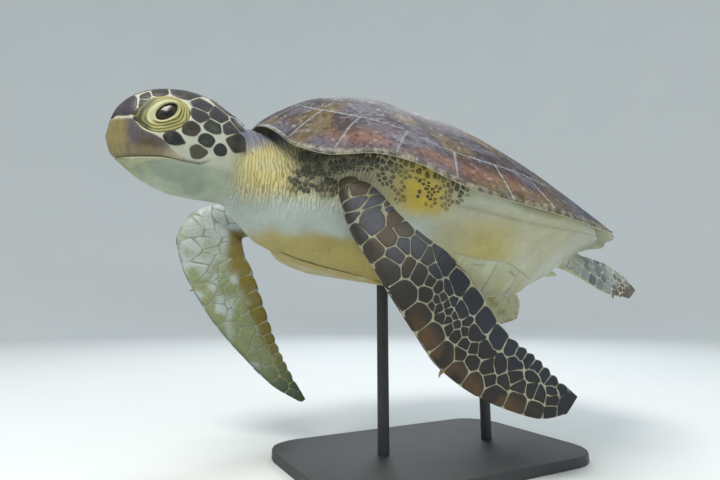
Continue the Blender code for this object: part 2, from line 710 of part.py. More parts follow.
def build_head(turtle):
    """Skull and jaws in skin, the two horny beak sheaths and the eyes."""
    points, faces = loft(head_rings())
    brow = 0.024
    tip = 0.36

    def mouth(x):
        return MOUTH_AT_BACK + (MOUTH_AT_TIP - MOUTH_AT_BACK) * (x - BEAK_BACK) / (0.333 - BEAK_BACK)

    front = mouth(tip)
    upper_room = wedge(BEAK_BACK, tip, mouth(BEAK_BACK), front, brow - 0.006, brow + 0.006)
    lower_room = wedge(BEAK_BACK, tip, -0.08, -0.08, mouth(BEAK_BACK) - GAP, front - GAP)
    whole_room = wedge(BEAK_BACK - GAP, tip + GAP, -0.09, -0.09, brow - 0.006 + GAP, brow + 0.006 + GAP)
    for name, room in (("upper_beak", upper_room), ("lower_beak", lower_room)):
        item = add_object(name, points, faces, "beak", turtle)
        cut(item, add_cutter(name + "_room", *room, turtle), "INTERSECT")
    head = add_object("head", points, faces, "scales", turtle)
    cut(head, add_cutter("beak_room", *whole_room, turtle))
    for side, name in ((1, "left"), (-1, "right")):
        centre = np.array(EYE_PLACE) * (1, side, 1)
        add_object("eye_" + name, *ball(EYE_RADIUS, centre), "eye", turtle)
        cut(head, add_cutter("socket_" + name, *ball(EYE_RADIUS + GAP + 0.0002, centre), turtle))
    grown = np.array(head_rings())
    middle = np.array([0.25, 0.0, 0.01])
    return add_cutter("head_cutter", *loft(middle + (grown - middle) * 1.012), turtle)


NECK_STATIONS = [0.095, 0.130, 0.158, 0.182, 0.203, 0.226]
neck_top = curve_through(NECK_STATIONS, [0.040, 0.040, 0.038, 0.037, 0.039, 0.044])
neck_low = curve_through(NECK_STATIONS, [-0.074, -0.077, -0.0735, -0.067, -0.053, -0.038])
neck_side = curve_through(NECK_STATIONS, [0.112, 0.116, 0.104, 0.080, 0.054, 0.037])


def neck_rings(grow=0.0):
    sides = 22
    turn = np.arange(sides) * 2 * np.pi / sides
    rings = []
    for x in np.linspace(NECK_STATIONS[0], NECK_STATIONS[-1], 9):
        level = (neck_top(x) + neck_low(x)) / 2
        tall = (neck_top(x) - neck_low(x)) / 2 + grow
        rings.append(np.column_stack([np.full(sides, x), (neck_side(x) + grow) * np.cos(turn),
                                      level + tall * np.sin(turn)]))
    rings[0][:, 0] -= grow
    rings[-1][:, 0] += grow
    return rings


def build_neck(turtle, cutters, head_cutter):
    """The folded neck, widening into the shoulders' skin under the front of the shell."""
    item = add_object("neck", *loft(neck_rings()), "skin", turtle)
    for cutter in cutters + [head_cutter]:
        cut(item, cutter)
    return add_cutter("neck_cutter", *loft(neck_rings(2 * GAP)), turtle)


def build_tail(turtle, cutters):
    """A short cone between the hind flippers."""
    sides = 10
    turn = np.arange(sides) * 2 * np.pi / sides
    rings = []
    for t in np.linspace(0, 1, 6):
        radius = 0.016 * (1 - t) ** 0.8 + 0.0025
        centre = np.array([-0.150 - 0.072 * t, 0.0, -0.036 - 0.004 * t])
        ring = np.column_stack([np.zeros(sides), np.cos(turn), 0.8 * np.sin(turn)]) * radius
        rings.append(centre + ring)
    item = add_object("tail", *loft(rings), "skin", turtle)
    for cutter in cutters:
        cut(item, cutter)


# ---------------------------------------------------------------- stand

def build_stand(turtle):
    """A flat plate with round corners, and two upright rods shaped to meet the plastron."""
    corner_steps = 5
    outline = []
    for cx, cy, start in ((1, 1, 0), (-1, 1, 1), (-1, -1, 2), (1, -1, 3)):
        for k in range(corner_steps + 1):
            angle = (start + k / corner_steps) * np.pi / 2
            outline.append((cx * (BASE_LENGTH / 2 - BASE_CORNER) + BASE_CORNER * np.cos(angle),
                            cy * (BASE_WIDTH / 2 - BASE_CORNER) + BASE_CORNER * np.sin(angle)))
    rings = [[(x, y, z) for x, y in outline] for z in (0.0, BASE_THICKNESS)]
    add_object("stand_base", *loft(rings), "stand", None)
    sides = 14
    turn = np.arange(sides) * 2 * np.pi / sides
    for name, place in ROD_PLACES.items():
        low = BASE_THICKNESS + GAP
        rings = []
        for z in (low, BODY_HEIGHT):
            rings.append(np.column_stack([place + ROD_RADIUS * np.cos(turn), ROD_RADIUS * np.sin(turn),
                                          np.full(sides, z)]))
        rod = add_object(name, *loft(rings), "stand", None)
        cut(rod, turtle["belly_cutter"])


def belly_block(turtle):
    """Everything above the underside of the plastron, a gap below it: it ends the rods."""
    places = np.array([(x, y) for x in np.linspace(-0.13, 0.11, 25) for y in np.linspace(-0.03, 0.03, 7)])
    rows, columns = 25, 7
    low = belly(places[:, 0], places[:, 1]) - BED - PLASTRON_THICKNESS - 2 * GAP
    triangles = []
    for i in range(rows - 1):
        for j in range(columns - 1):
            a = i * columns + j
            triangles += [[a, a + columns, a + columns + 1], [a, a + columns + 1, a + 1]]
    points, faces = slab(places, np.array(triangles), np.full(len(places), 0.15), low)
    return add_cutter("belly_cutter", points, faces, turtle)


def main():
    for item in list(bpy.data.objects):
        bpy.data.objects.remove(item, do_unlink=True)
    turtle = bpy.data.objects.new("turtle", None)
    bpy.context.collection.objects.link(turtle)
    turtle.location = (0.0, 0.0, BODY_HEIGHT)
    turtle.rotation_mode = "YXZ"
    turtle.rotation_euler = (-NOSE_UP, BANK_LEFT_DOWN, 0.0)
    trunk, cutters = build_shell(turtle)
    head_cutter = build_head(turtle)
    neck_cutter = build_neck(turtle, cutters, head_cutter)
    build_limbs(turtle, cutters + [neck_cutter])
    build_tail(turtle, cutters)
    turtle["belly_cutter"] = belly_block(turtle)
    build_stand(turtle)


main()
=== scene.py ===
"""Looks of a life-size young green sea turtle in a swimming stroke, on a two-rod display stand.

Shapes are worked out in the body's own frame, (forward, left, up) in metres from the middle of the shell
at rim level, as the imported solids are, and then pitched, banked and lifted to their place over the base.
One skin carries head, neck, trunk, tail and flippers; keratin scales lie over it, and the shell plates,
beak, eyes and claws are pieces of their own.
"""
from math import radians
import bpy
import numpy as np
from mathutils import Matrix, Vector


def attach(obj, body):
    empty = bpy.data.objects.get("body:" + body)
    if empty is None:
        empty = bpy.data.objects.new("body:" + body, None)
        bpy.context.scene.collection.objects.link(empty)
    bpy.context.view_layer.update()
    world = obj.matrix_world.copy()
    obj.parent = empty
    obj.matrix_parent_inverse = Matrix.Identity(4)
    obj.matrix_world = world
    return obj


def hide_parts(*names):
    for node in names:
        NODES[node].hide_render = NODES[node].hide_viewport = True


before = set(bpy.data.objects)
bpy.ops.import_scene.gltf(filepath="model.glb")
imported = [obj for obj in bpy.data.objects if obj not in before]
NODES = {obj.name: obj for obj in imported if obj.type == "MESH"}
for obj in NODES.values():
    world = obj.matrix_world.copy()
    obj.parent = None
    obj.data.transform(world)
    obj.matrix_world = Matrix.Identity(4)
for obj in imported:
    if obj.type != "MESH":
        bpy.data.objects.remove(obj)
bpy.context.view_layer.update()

# Pose and driving sizes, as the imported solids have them
BODY_HEIGHT, NOSE_UP, BANK_LEFT_DOWN = 0.262, radians(6.3), radians(6.7)
SHELL_FRONT, SHELL_REAR, SHELL_HALF_WIDTH = 0.210, 0.225, 0.182
SCUTE_THICKNESS, PLASTRON_THICKNESS, BED = 0.0035, 0.0025, 0.0006
RIM_LIP, MARGINAL_WIDTH, NUCHAL_HALF_WIDTH, MARGINAL_PAIRS = 0.008, 0.033, 0.028, 12

# How the looks sit on those solids
SKIN_DEPTH = 0.0009        # the skin lies this far inside the solids where scales cover it
BARE_DEPTH = 0.0004        # and this far where it is bare
SHELL_DEPTH = 0.00048      # shell plates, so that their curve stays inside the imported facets
SHEATH_DEPTH = 0.00038     # the beak's sheaths, for the same reason
RIM_DEPTH = 0.0004         # the shell's outer edge
SOCKET_DEPTH = 0.0062      # hollow of the skin behind each eyeball
PLATE_HALF_GAP = 0.00006   # shell plates almost touch at their seams


# ---------------------------------------------------------------- colour and noise

def linear(code):
    """sRGB hex to linear red, green, blue."""
    value = np.array([int(code[k:k + 2], 16) for k in (1, 3, 5)]) / 255
    return np.where(value <= 0.04045, value / 12.92, ((value + 0.055) / 1.055) ** 2.4)


def smooth(low, high, value):
    """0 below low, 1 above high and a smoothstep between (falling where low is above high)."""
    t = np.clip((np.asarray(value, float) - low) / (high - low), 0, 1)
    return t * t * (3 - 2 * t)


def mixed(one, other, share):
    """Colours (hex or linear) one and other mixed by the share of the other, point by point."""
    one, other = (linear(colour) if isinstance(colour, str) else colour for colour in (one, other))
    share = np.asarray(share, float)[..., None]
    return one * (1 - share) + other * share


def layered(colour, *layers):
    """A colour with others laid over it in turn, each given with its share point by point."""
    for other, share in layers:
        colour = mixed(colour, other, share)
    return colour


def rough(points, size, seed):
    """Smooth random values 0 to 1 over the points, from the hashed corners of a lattice of that size."""
    q = np.asarray(points, float) / size
    cell = np.floor(q)
    t = q - cell
    t = t * t * (3 - 2 * t)
    total = 0.0
    for corner in np.ndindex(2, 2, 2):
        at = cell + np.array(corner)
        hashed = np.sin(at @ np.array([127.1, 311.7, 74.7]) + 17.3 * seed) * 43758.5453
        weight = np.prod(np.where(np.array(corner) == 1, t, 1 - t), axis=-1)
        total = total + weight * (hashed - np.floor(hashed))
    return total


def bump(value, middle, width):
    """A smooth bump over the value: 1 at the middle, falling to 0 a few widths away."""
    return np.exp(-((value - middle) / width) ** 2)


def spot(a, b, middle, widths):
    """A smooth spot over two values: 1 at its middle, falling to 0 a few widths away."""
    return np.exp(-(((a - middle[0]) / widths[0]) ** 2 + ((b - middle[1]) / widths[1]) ** 2))


def round_steps(count):
    """That many even angles round a circle."""
    return np.arange(count) * 2 * np.pi / count


def run_length(points):
    """Distance along a line of points, from its first."""
    return np.concatenate([[0], np.cumsum(np.linalg.norm(np.diff(points, axis=0), axis=1))])


# ---------------------------------------------------------------- formulas of the body, as in the solids

def curve_through(stations, values):
    """Monotone cubic through the stations, flat beyond the ends."""
    xs, ys = np.asarray(stations, float), np.asarray(values, float)
    step = np.diff(xs)
    rise = np.diff(ys) / step
    product = rise[:-1] * rise[1:]
    total = np.where(product > 0, rise[:-1] + rise[1:], 1.0)
    slope = np.concatenate([rise[:1], np.where(product > 0, 2 * product / total, 0.0), rise[-1:]])

    def at(x):
        """The curve's value, by Hermite's cubic between the two nearest stations."""
        x = np.clip(x, xs[0], xs[-1])
        i = np.clip(np.searchsorted(xs, x) - 1, 0, len(xs) - 2)
        t = (x - xs[i]) / step[i]
        return ((1 + 2 * t) * (1 - t) ** 2 * ys[i] + t * (1 - t) ** 2 * step[i] * slope[i]
                + t * t * (3 - 2 * t) * ys[i + 1] + t * t * (t - 1) * step[i] * slope[i + 1])

    return at


rim_level = curve_through(
    [-0.225, -0.17, -0.08, 0.02, 0.065, 0.095, 0.120, 0.145, 0.172, 0.192, 0.202, 0.210],
    [-0.004, 0.004, -0.002, -0.004, -0.003, 0.003, 0.011, 0.014, 0.010, 0.017, 0.031, 0.045])
crest_level = curve_through([-0.225, -0.205, -0.17, -0.12, -0.05, 0.03, 0.09, 0.15, 0.190, 0.210],
                            [-0.002, 0.014, 0.038, 0.066, 0.092, 0.106, 0.106, 0.092, 0.066, 0.046])
belly_level = curve_through([-0.213, -0.18, -0.14, -0.09, 0.0, 0.08, 0.135, 0.165, 0.185, 0.198],
                            [-0.010, -0.033, -0.053, -0.069, -0.082, -0.085, -0.080, -0.072, -0.040, 0.004])
plastron_half_width = curve_through([-0.170, -0.150, -0.10, -0.05, 0.0, 0.06, 0.10, 0.130, 0.152, 0.165],
                                    [0.022, 0.036, 0.062, 0.092, 0.108, 0.108, 0.088, 0.060, 0.036, 0.016])


def rim_point(angle, inset=0.0):
    """Shell outline in plan: angle 0 at the nape, pi at the tail, left side positive."""
    side = np.sin(angle)
    forward = np.cos(angle) * np.where(np.cos(angle) > 0, SHELL_FRONT, SHELL_REAR)
    left = SHELL_HALF_WIDTH * np.sign(side) * np.abs(side) ** 0.88 * (1 + 0.10 * np.cos(angle))
    shrink = 1 - inset / np.hypot(forward, left)
    return forward * shrink, left * shrink


ANGLES = np.linspace(0.0, np.pi, 2001)
RIM_X, RIM_Y = rim_point(ANGLES)
RIM_ARC = run_length(np.column_stack([RIM_X, RIM_Y]))
MARGINAL_LENGTH = (RIM_ARC[-1] - NUCHAL_HALF_WIDTH) / MARGINAL_PAIRS


def half_width(forward):
    """Half the shell's width at a place along it."""
    return np.interp(forward, RIM_X[::-1], RIM_Y[::-1])


def shell_top(forward, left):
    """Height of the carapace: a low roof from the rim up to the crest."""
    across = np.clip(np.abs(left) / np.maximum(half_width(forward), 1e-4), 0, 1)
    low = rim_level(forward)
    return low + (crest_level(forward) - low) * (1 - across ** 1.6) ** 0.95


def lip(angle):
    """Overhang of the marginal plates over the skin, wider at the nape and towards the tail."""
    return RIM_LIP + 0.008 * (0.5 - 0.5 * np.cos(angle)) ** 3 + 0.006 * (0.5 + 0.5 * np.cos(angle)) ** 3


def belly(forward, left):
    """Underside of the trunk: flat over the plastron, rising in a smooth step to the skin's edge."""
    edge = np.maximum(half_width(forward) - RIM_LIP, 1e-4)
    inner_edge = np.minimum(plastron_half_width(forward), 0.85 * edge)
    t = np.clip((np.abs(left) - inner_edge) / np.maximum(edge - inner_edge, 1e-4), 0, 1)
    high = rim_level(forward) - SCUTE_THICKNESS - 0.002
    low = np.minimum(belly_level(forward), high)
    return low + (high - low) * t * t * (3 - 2 * t)


def seam_angle(number):
    """Angle of the seam behind marginal plate `number`, counted from the nape."""
    return np.interp(NUCHAL_HALF_WIDTH + MARGINAL_LENGTH * np.asarray(number, float), RIM_ARC, ANGLES)


def inner_line(angle):
    """Width of the row of marginal plates, from the rim inwards."""
    return MARGINAL_WIDTH + 0.004 * np.sin(angle)


def on_rim(angle):
    """The plates' outer edge: it flares out a little at the back of each rear plate."""
    place = (np.interp(angle, ANGLES, RIM_ARC) - NUCHAL_HALF_WIDTH) / MARGINAL_LENGTH
    within = place - np.floor(place + 1e-6)
    return -0.004 * np.clip((place - 6.5) / 3.0, 0, 1) * np.sin(np.pi * within) ** 2


def on_nape(angle):
    """The nape's edge, very slightly hollow in the middle."""
    return 0.003 * np.cos(np.clip(angle / seam_angle(0), -1, 1) * np.pi / 2) ** 2


# Shell plates: where the ridge's seams end and turn (forward, left), the marginal seams between which costals
# and runs lie, and where the plastron's seams and the bridges lie along the body
VERTEBRAL_SEAMS = [(0.125, 0.036), (0.045, 0.036), (-0.040, 0.034), (-0.128, 0.028)]
VERTEBRAL_CORNERS = [(0.085, 0.058), (0.002, 0.060), (-0.085, 0.054)]
LAST_CORNER = (-0.155, 0.046)
COSTAL_ENDS = [1, 4, 6, 8, 11]
MARGINAL_RUNS = {"front": (0, 4), "bridge": (4, 8), "rear": (8, 12)}
PLASTRON_SEAMS = [0.165, 0.132, 0.092, 0.030, -0.045, -0.105, -0.168]
PLASTRON_NAMES = ["gulars", "humerals", "pectorals", "abdominals", "femorals", "anals"]
BRIDGE_FRONT, BRIDGE_REAR, BRIDGE_WIDTH = 0.088, -0.078, 0.030

# Flippers as stations from root to tip: leading edge, trailing edge (forward, left, up) and thickness
LEFT_FRONT = [
    (0.150, 0.078, 0.004, 0.112, 0.088, 0.008, 0.030),
    (0.155, 0.107, -0.018, 0.110, 0.115, -0.007, 0.028),
    (0.145, 0.116, -0.047, 0.091, 0.126, -0.025, 0.022),
    (0.121, 0.127, -0.079, 0.058, 0.136, -0.051, 0.018),
    (0.086, 0.130, -0.116, 0.022, 0.138, -0.078, 0.014),
    (0.049, 0.131, -0.150, -0.014, 0.142, -0.113, 0.010),
    (-0.002, 0.139, -0.174, -0.042, 0.150, -0.129, 0.006),
    (-0.049, 0.151, -0.183, -0.066, 0.158, -0.147, 0.004),
    (-0.074, 0.159, -0.176, -0.081, 0.164, -0.158, 0.0025),
]
RIGHT_FRONT = [
    (0.140, -0.085, 0.000, 0.112, -0.095, -0.036, 0.032),
    (0.180, -0.140, -0.010, 0.142, -0.135, -0.050, 0.030),
    (0.224, -0.166, -0.032, 0.163, -0.150, -0.058, 0.024),
    (0.240, -0.162, -0.067, 0.161, -0.140, -0.072, 0.020),
    (0.230, -0.156, -0.099, 0.148, -0.126, -0.097, 0.016),
    (0.190, -0.139, -0.155, 0.129, -0.116, -0.136, 0.011),
    (0.145, -0.122, -0.197, 0.109, -0.106, -0.176, 0.007),
    (0.101, -0.106, -0.229, 0.089, -0.097, -0.207, 0.004),
    (0.073, -0.092, -0.240, 0.068, -0.090, -0.235, 0.0025),
]
LEFT_HIND = [
    (-0.122, 0.068, -0.030, -0.150, 0.050, -0.010, 0.024),
    (-0.154, 0.071, -0.036, -0.200, 0.053, -0.016, 0.020),
    (-0.186, 0.075, -0.047, -0.235, 0.057, -0.019, 0.012),
    (-0.223, 0.079, -0.058, -0.261, 0.067, -0.030, 0.006),
    (-0.257, 0.082, -0.059, -0.274, 0.078, -0.046, 0.003),
]
RIGHT_HIND = [
    (-0.118, -0.088, -0.040, -0.140, -0.060, -0.022, 0.024),
    (-0.142, -0.092, -0.062, -0.172, -0.058, -0.040, 0.020),
    (-0.160, -0.090, -0.084, -0.200, -0.056, -0.060, 0.012),
    (-0.182, -0.082, -0.106, -0.219, -0.055, -0.084, 0.006),
    (-0.204, -0.072, -0.118, -0.222, -0.061, -0.108, 0.003),
]

# Flippers: stations, rows and columns of the skin's grid, depth of the trailing notches, and their tip's
# colour and size
LIMBS = {"front_left": (LEFT_FRONT, 130, 84, 0.0024, "#161c24", 0.019),
         "front_right": (RIGHT_FRONT, 140, 84, 0.0018, "#43604a", 0.019),
         "hind_left": (LEFT_HIND, 66, 64, 0, "#6b6656", 0.015),
         "hind_right": (RIGHT_HIND, 60, 64, 0, "#b3b088", 0.015)}

# Head and neck: their top, underside and half width along them
head_top = curve_through(
    [0.214, 0.222, 0.238, 0.256, 0.274, 0.291, 0.303, 0.3176, 0.3255, 0.331, 0.333],
    [0.042, 0.046, 0.053, 0.0585, 0.0597, 0.057, 0.0532, 0.044, 0.035, 0.023, 0.004])
head_low = curve_through(
    [0.214, 0.225, 0.240, 0.256, 0.273, 0.290, 0.308, 0.319, 0.327, 0.333],
    [-0.034, -0.036, -0.0365, -0.0375, -0.0370, -0.0330, -0.0250, -0.0180, -0.0110, 0.002])
head_side = curve_through([0.214, 0.225, 0.245, 0.265, 0.285, 0.300, 0.312, 0.322, 0.329, 0.333],
                          [0.034, 0.038, 0.0405, 0.0405, 0.0370, 0.0310, 0.0240, 0.0165, 0.0090, 0.0010])
NECK_STATIONS = [0.095, 0.130, 0.158, 0.182, 0.203, 0.226]
neck_top = curve_through(NECK_STATIONS, [0.040, 0.040, 0.038, 0.037, 0.039, 0.044])
neck_low = curve_through(NECK_STATIONS, [-0.074, -0.077, -0.0735, -0.067, -0.053, -0.038])
neck_side = curve_through(NECK_STATIONS, [0.112, 0.116, 0.104, 0.080, 0.054, 0.037])
# Gape: from the corner of the mouth to the beak's tip
mouth_line = curve_through([0.243, 0.250, 0.258, 0.270, 0.283, 0.299, 0.333],
                           [-0.0022, -0.0050, -0.0088, -0.0092, -0.0090, -0.0108, -0.0160])

SNOUT_TIP = 0.333
WIDEST_LEVEL = 0.46          # of the head's height, from below
HEAD_ROUNDNESS = 0.85        # power of the head's side: below 1 it is fuller than an ellipse
JAW_NARROWING = 0.10
NOSTRIL = (0.3275, 0.0065, 0.0212)

# Ovals in the head's side view: middle (forward, up), half length and half height, and their long way
LIDS = np.array([[0.2928, 0.0272], [0.0218, 0.0170], [0.93, -0.37]])
OPENING = np.array([[0.2905, 0.0290], [0.0099, 0.0058], [-0.629, 0.777]])
EYE_FACE, EYE_DEPTH, EYE_ROUND = 0.0335, 0.0085, 0.0150
EYE_LEAN = (-0.38, -0.28)    # the eye faces forward and up, as the head's side does


# ---------------------------------------------------------------- meshes

def placed(points):
    """Body points turned to (left, back, up), banked about Y, pitched about X and lifted over the base."""
    points = np.asarray(points, float)
    x, y, z = points[..., 1], -points[..., 0], points[..., 2]
    x, z = (x * np.cos(BANK_LEFT_DOWN) + z * np.sin(BANK_LEFT_DOWN),
            z * np.cos(BANK_LEFT_DOWN) - x * np.sin(BANK_LEFT_DOWN))
    y, z = y * np.cos(NOSE_UP) + z * np.sin(NOSE_UP), z * np.cos(NOSE_UP) - y * np.sin(NOSE_UP)
    return np.stack([x, y, z + BODY_HEIGHT], axis=-1)


def tube_faces(rows, columns):
    """Quads of a tube of rows of points, and triangles closing both ends round a last pair of points."""
    r, c = np.meshgrid(np.arange(rows - 1), np.arange(columns), indexing="ij")
    a = (r * columns + c).ravel()
    b = (r * columns + (c + 1) % columns).ravel()
    quads = np.column_stack([a, b, b + columns, a + columns])
    k, last = np.arange(columns), (rows - 1) * columns
    near = np.column_stack([(k + 1) % columns, k, np.full(columns, rows * columns)])
    far = np.column_stack([last + k, last + (k + 1) % columns, np.full(columns, rows * columns + 1)])
    return quads, np.concatenate([near, far])


def tube(grid, start=None):
    """Points, quads and end triangles of a closed tube through rows of points, with a pole in the middle of
    each end unless the first is given."""
    start = grid[0].mean(axis=0) if start is None else np.asarray(start, float)
    points = np.concatenate([grid.reshape(-1, 3), [start], [grid[-1].mean(axis=0)]])
    return (points,) + tube_faces(*grid.shape[:2])


def put_together(shapes):
    """Several shapes, each (points, quads, triangles), as one."""
    points, quads, triangles = zip(*shapes)
    first = np.cumsum([0] + [len(each) for each in points])
    return (np.concatenate(points), np.concatenate([faces + start for faces, start in zip(quads, first)]),
            np.concatenate([faces + start for faces, start in zip(triangles, first)]))


def mesh_of(name, shape, place=True):
    """A mesh from points and arrays of faces, turned inside out if its volume comes out negative."""
    points, *face_sets = shape
    points = placed(points) if place else np.asarray(points, float)
    volume = 0.0
    for faces in face_sets:
        a = points[faces[:, 0]]
        for k in range(1, faces.shape[1] - 1):
            volume += np.einsum("ij,ij->", a, np.cross(points[faces[:, k]], points[faces[:, k + 1]]))
    if volume < 0:
        face_sets = [faces[:, ::-1] for faces in face_sets]
    loops = np.concatenate([faces.ravel() for faces in face_sets]).astype(np.int32)
    sizes = np.concatenate([np.full(len(faces), faces.shape[1]) for faces in face_sets])
    mesh = bpy.data.meshes.new(name)
    mesh.vertices.add(len(points))
    mesh.vertices.foreach_set("co", points.ravel())
    mesh.loops.add(len(loops))
    mesh.loops.foreach_set("vertex_index", loops)
    mesh.polygons.add(len(sizes))
    mesh.polygons.foreach_set("loop_start", (np.cumsum(sizes) - sizes).astype(np.int32))
    mesh.update(calc_edges=True)
    return mesh


def new_object(name, mesh):
    """An object with that mesh, in the scene."""
    item = bpy.data.objects.new(name, mesh)
    bpy.context.collection.objects.link(item)
    return item


def add_piece(name, shape, horn, replaces, tint=None, values=None, bake=None):
    """A piece of the turtle with its material, point colours, point values or vectors, and bake map."""
    mesh = mesh_of(name, shape)
    if tint is not None:
        colour = mesh.color_attributes.new(name="Tint", type="FLOAT_COLOR", domain="POINT")
        colour.data.foreach_set("color", np.column_stack([tint, np.ones(len(tint))]).ravel())
    for key, value in (values or {}).items():
        value = np.asarray(value, float)
        kind, field = ("FLOAT", "value") if value.ndim == 1 else ("FLOAT_VECTOR", "vector")
        mesh.attributes.new(key, kind, "POINT").data.foreach_set(field, value.ravel())
    if bake is not None:
        corner = np.empty(len(mesh.loops), np.int32)
        mesh.loops.foreach_get("vertex_index", corner)
        mesh.uv_layers.new(name="OFBake").data.foreach_set("uv", np.asarray(bake, float)[corner].ravel())
    mesh.shade_smooth()
    mesh.materials.append(horn)
    item = new_object(name, mesh)
    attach(item, "root")
    if replaces:
        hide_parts(*replaces)


class Sheet:
    """A closed tube of body points as a surface: rows along it, columns round it, looked up bilinearly."""

    def __init__(self, grid, squeeze=None):
        self.grid = grid
        self.squeeze = squeeze
        self.rows, self.columns = grid.shape[:2]
        self.down = np.gradient(grid, axis=0)
        self.round = (np.roll(grid, -1, axis=1) - np.roll(grid, 1, axis=1)) / 2
        normal = np.cross(self.down, self.round)
        normal /= np.maximum(np.linalg.norm(normal, axis=-1, keepdims=True), 1e-12)
        outward = grid - grid.mean(axis=1, keepdims=True)
        self.normal = normal * (1 if (normal * outward).sum() > 0 else -1)

    def look(self, table, i, j):
        """Bilinear value of a table over the grid at row i and column j, wrapping round the columns."""
        i = np.clip(i, 0, self.rows - 1.001)
        i0 = np.floor(i).astype(int)
        j0 = np.floor(j).astype(int)
        u, v = (i - i0)[..., None], (j - j0)[..., None]
        a, b = j0 % self.columns, (j0 + 1) % self.columns
        return ((table[i0, a] * (1 - v) + table[i0, b] * v) * (1 - u)
                + (table[i0 + 1, a] * (1 - v) + table[i0 + 1, b] * v) * u)

    def at(self, i, j, lift=0.0):
        """The body point at row i and column j, lifted off the sheet."""
        return self.look(self.grid, i, j) + self.look(self.normal, i, j) * np.asarray(lift)[..., None]

    def measure(self, i, j):
        """Lengths of one row and one column step, as a matrix to local metres: (n, 2, 2). Where the sheet is
        squeezed, lengths round it count for less, so that scales come out wider round it than along it."""
        along = self.look(self.down, i, j)
        across = self.look(self.round, i, j)
        length = np.maximum(np.linalg.norm(along, axis=-1), 1e-6)
        skew = (along * across).sum(-1) / length
        square = np.sqrt(np.maximum((across ** 2).sum(-1) - skew ** 2, 1e-12))
        if self.squeeze is not None:
            square = square * self.squeeze(i, j)
        return np.stack([np.stack([length, skew], -1), np.stack([0 * length, square], -1)], -2)

    def nearest(self, places):
        """Row and column of the grid point nearest each place."""
        flat = self.grid.reshape(-1, 3)
        found = [int(((flat - place) ** 2).sum(1).argmin()) for place in np.atleast_2d(places)]
        return np.array([(k // self.columns, k % self.columns) for k in found], float)


def wrapped(step, columns):
    """A step of columns round a sheet, taken the shorter way."""
    return (step + columns / 2) % columns - columns / 2


class Limb(Sheet):
    """A flipper's sheet, with how far along it each row lies and half the way round it there."""

    def __init__(self, grid, squeeze=None):
        super().__init__(grid, squeeze)
        self.half_round = self.columns / 2
        half = self.columns // 2
        self.along = run_length((grid[:, 0] + grid[:, half]) / 2)
        side = np.linalg.norm(np.roll(grid, -1, axis=1) - grid, axis=-1)
        self.half_girth = side[:, :half].sum(axis=1)

    def share(self, i):
        """How far along the flipper row i lies, 0 to 1."""
        return np.interp(i, np.arange(self.rows), self.along) / self.along[-1]

    def row(self, share):
        """The row at that share of the length."""
        return np.interp(share * self.along[-1], self.along, np.arange(self.rows))

    def girth_at(self, i):
        """Half the way round the flipper at row i."""
        return np.interp(i, np.arange(self.rows), self.half_girth)

    def side(self, j):
        """Columns counted from the leading edge: positive over the first face, negative over the second."""
        return wrapped(j, self.columns)


def filled(sheet, seeds, sizes, size_at, rows, seed, tries, close, allowed=None):
    """More seeds between the given ones: random places kept where none is nearer than their two sizes."""
    rng = np.random.default_rng(seed)
    new = np.column_stack([rng.uniform(*rows, tries), rng.uniform(0, sheet.columns, tries)])
    new_sizes = size_at(*new.T)
    measure = sheet.measure(*new.T)
    ok = np.ones(tries, bool) if allowed is None else allowed(sheet.at(*new.T))
    places = np.array(seeds, float).reshape(-1, 2)
    kept = np.array(sizes, float)
    for k in np.flatnonzero(ok):
        step = places - new[k]
        step[:, 1] = wrapped(step[:, 1], sheet.columns)
        far = np.linalg.norm(step @ measure[k].T, axis=1)
        if len(kept) == 0 or np.all(far > close * (kept + new_sizes[k])):
            places = np.vstack([places, new[k]])
            kept = np.append(kept, new_sizes[k])
    return places, kept


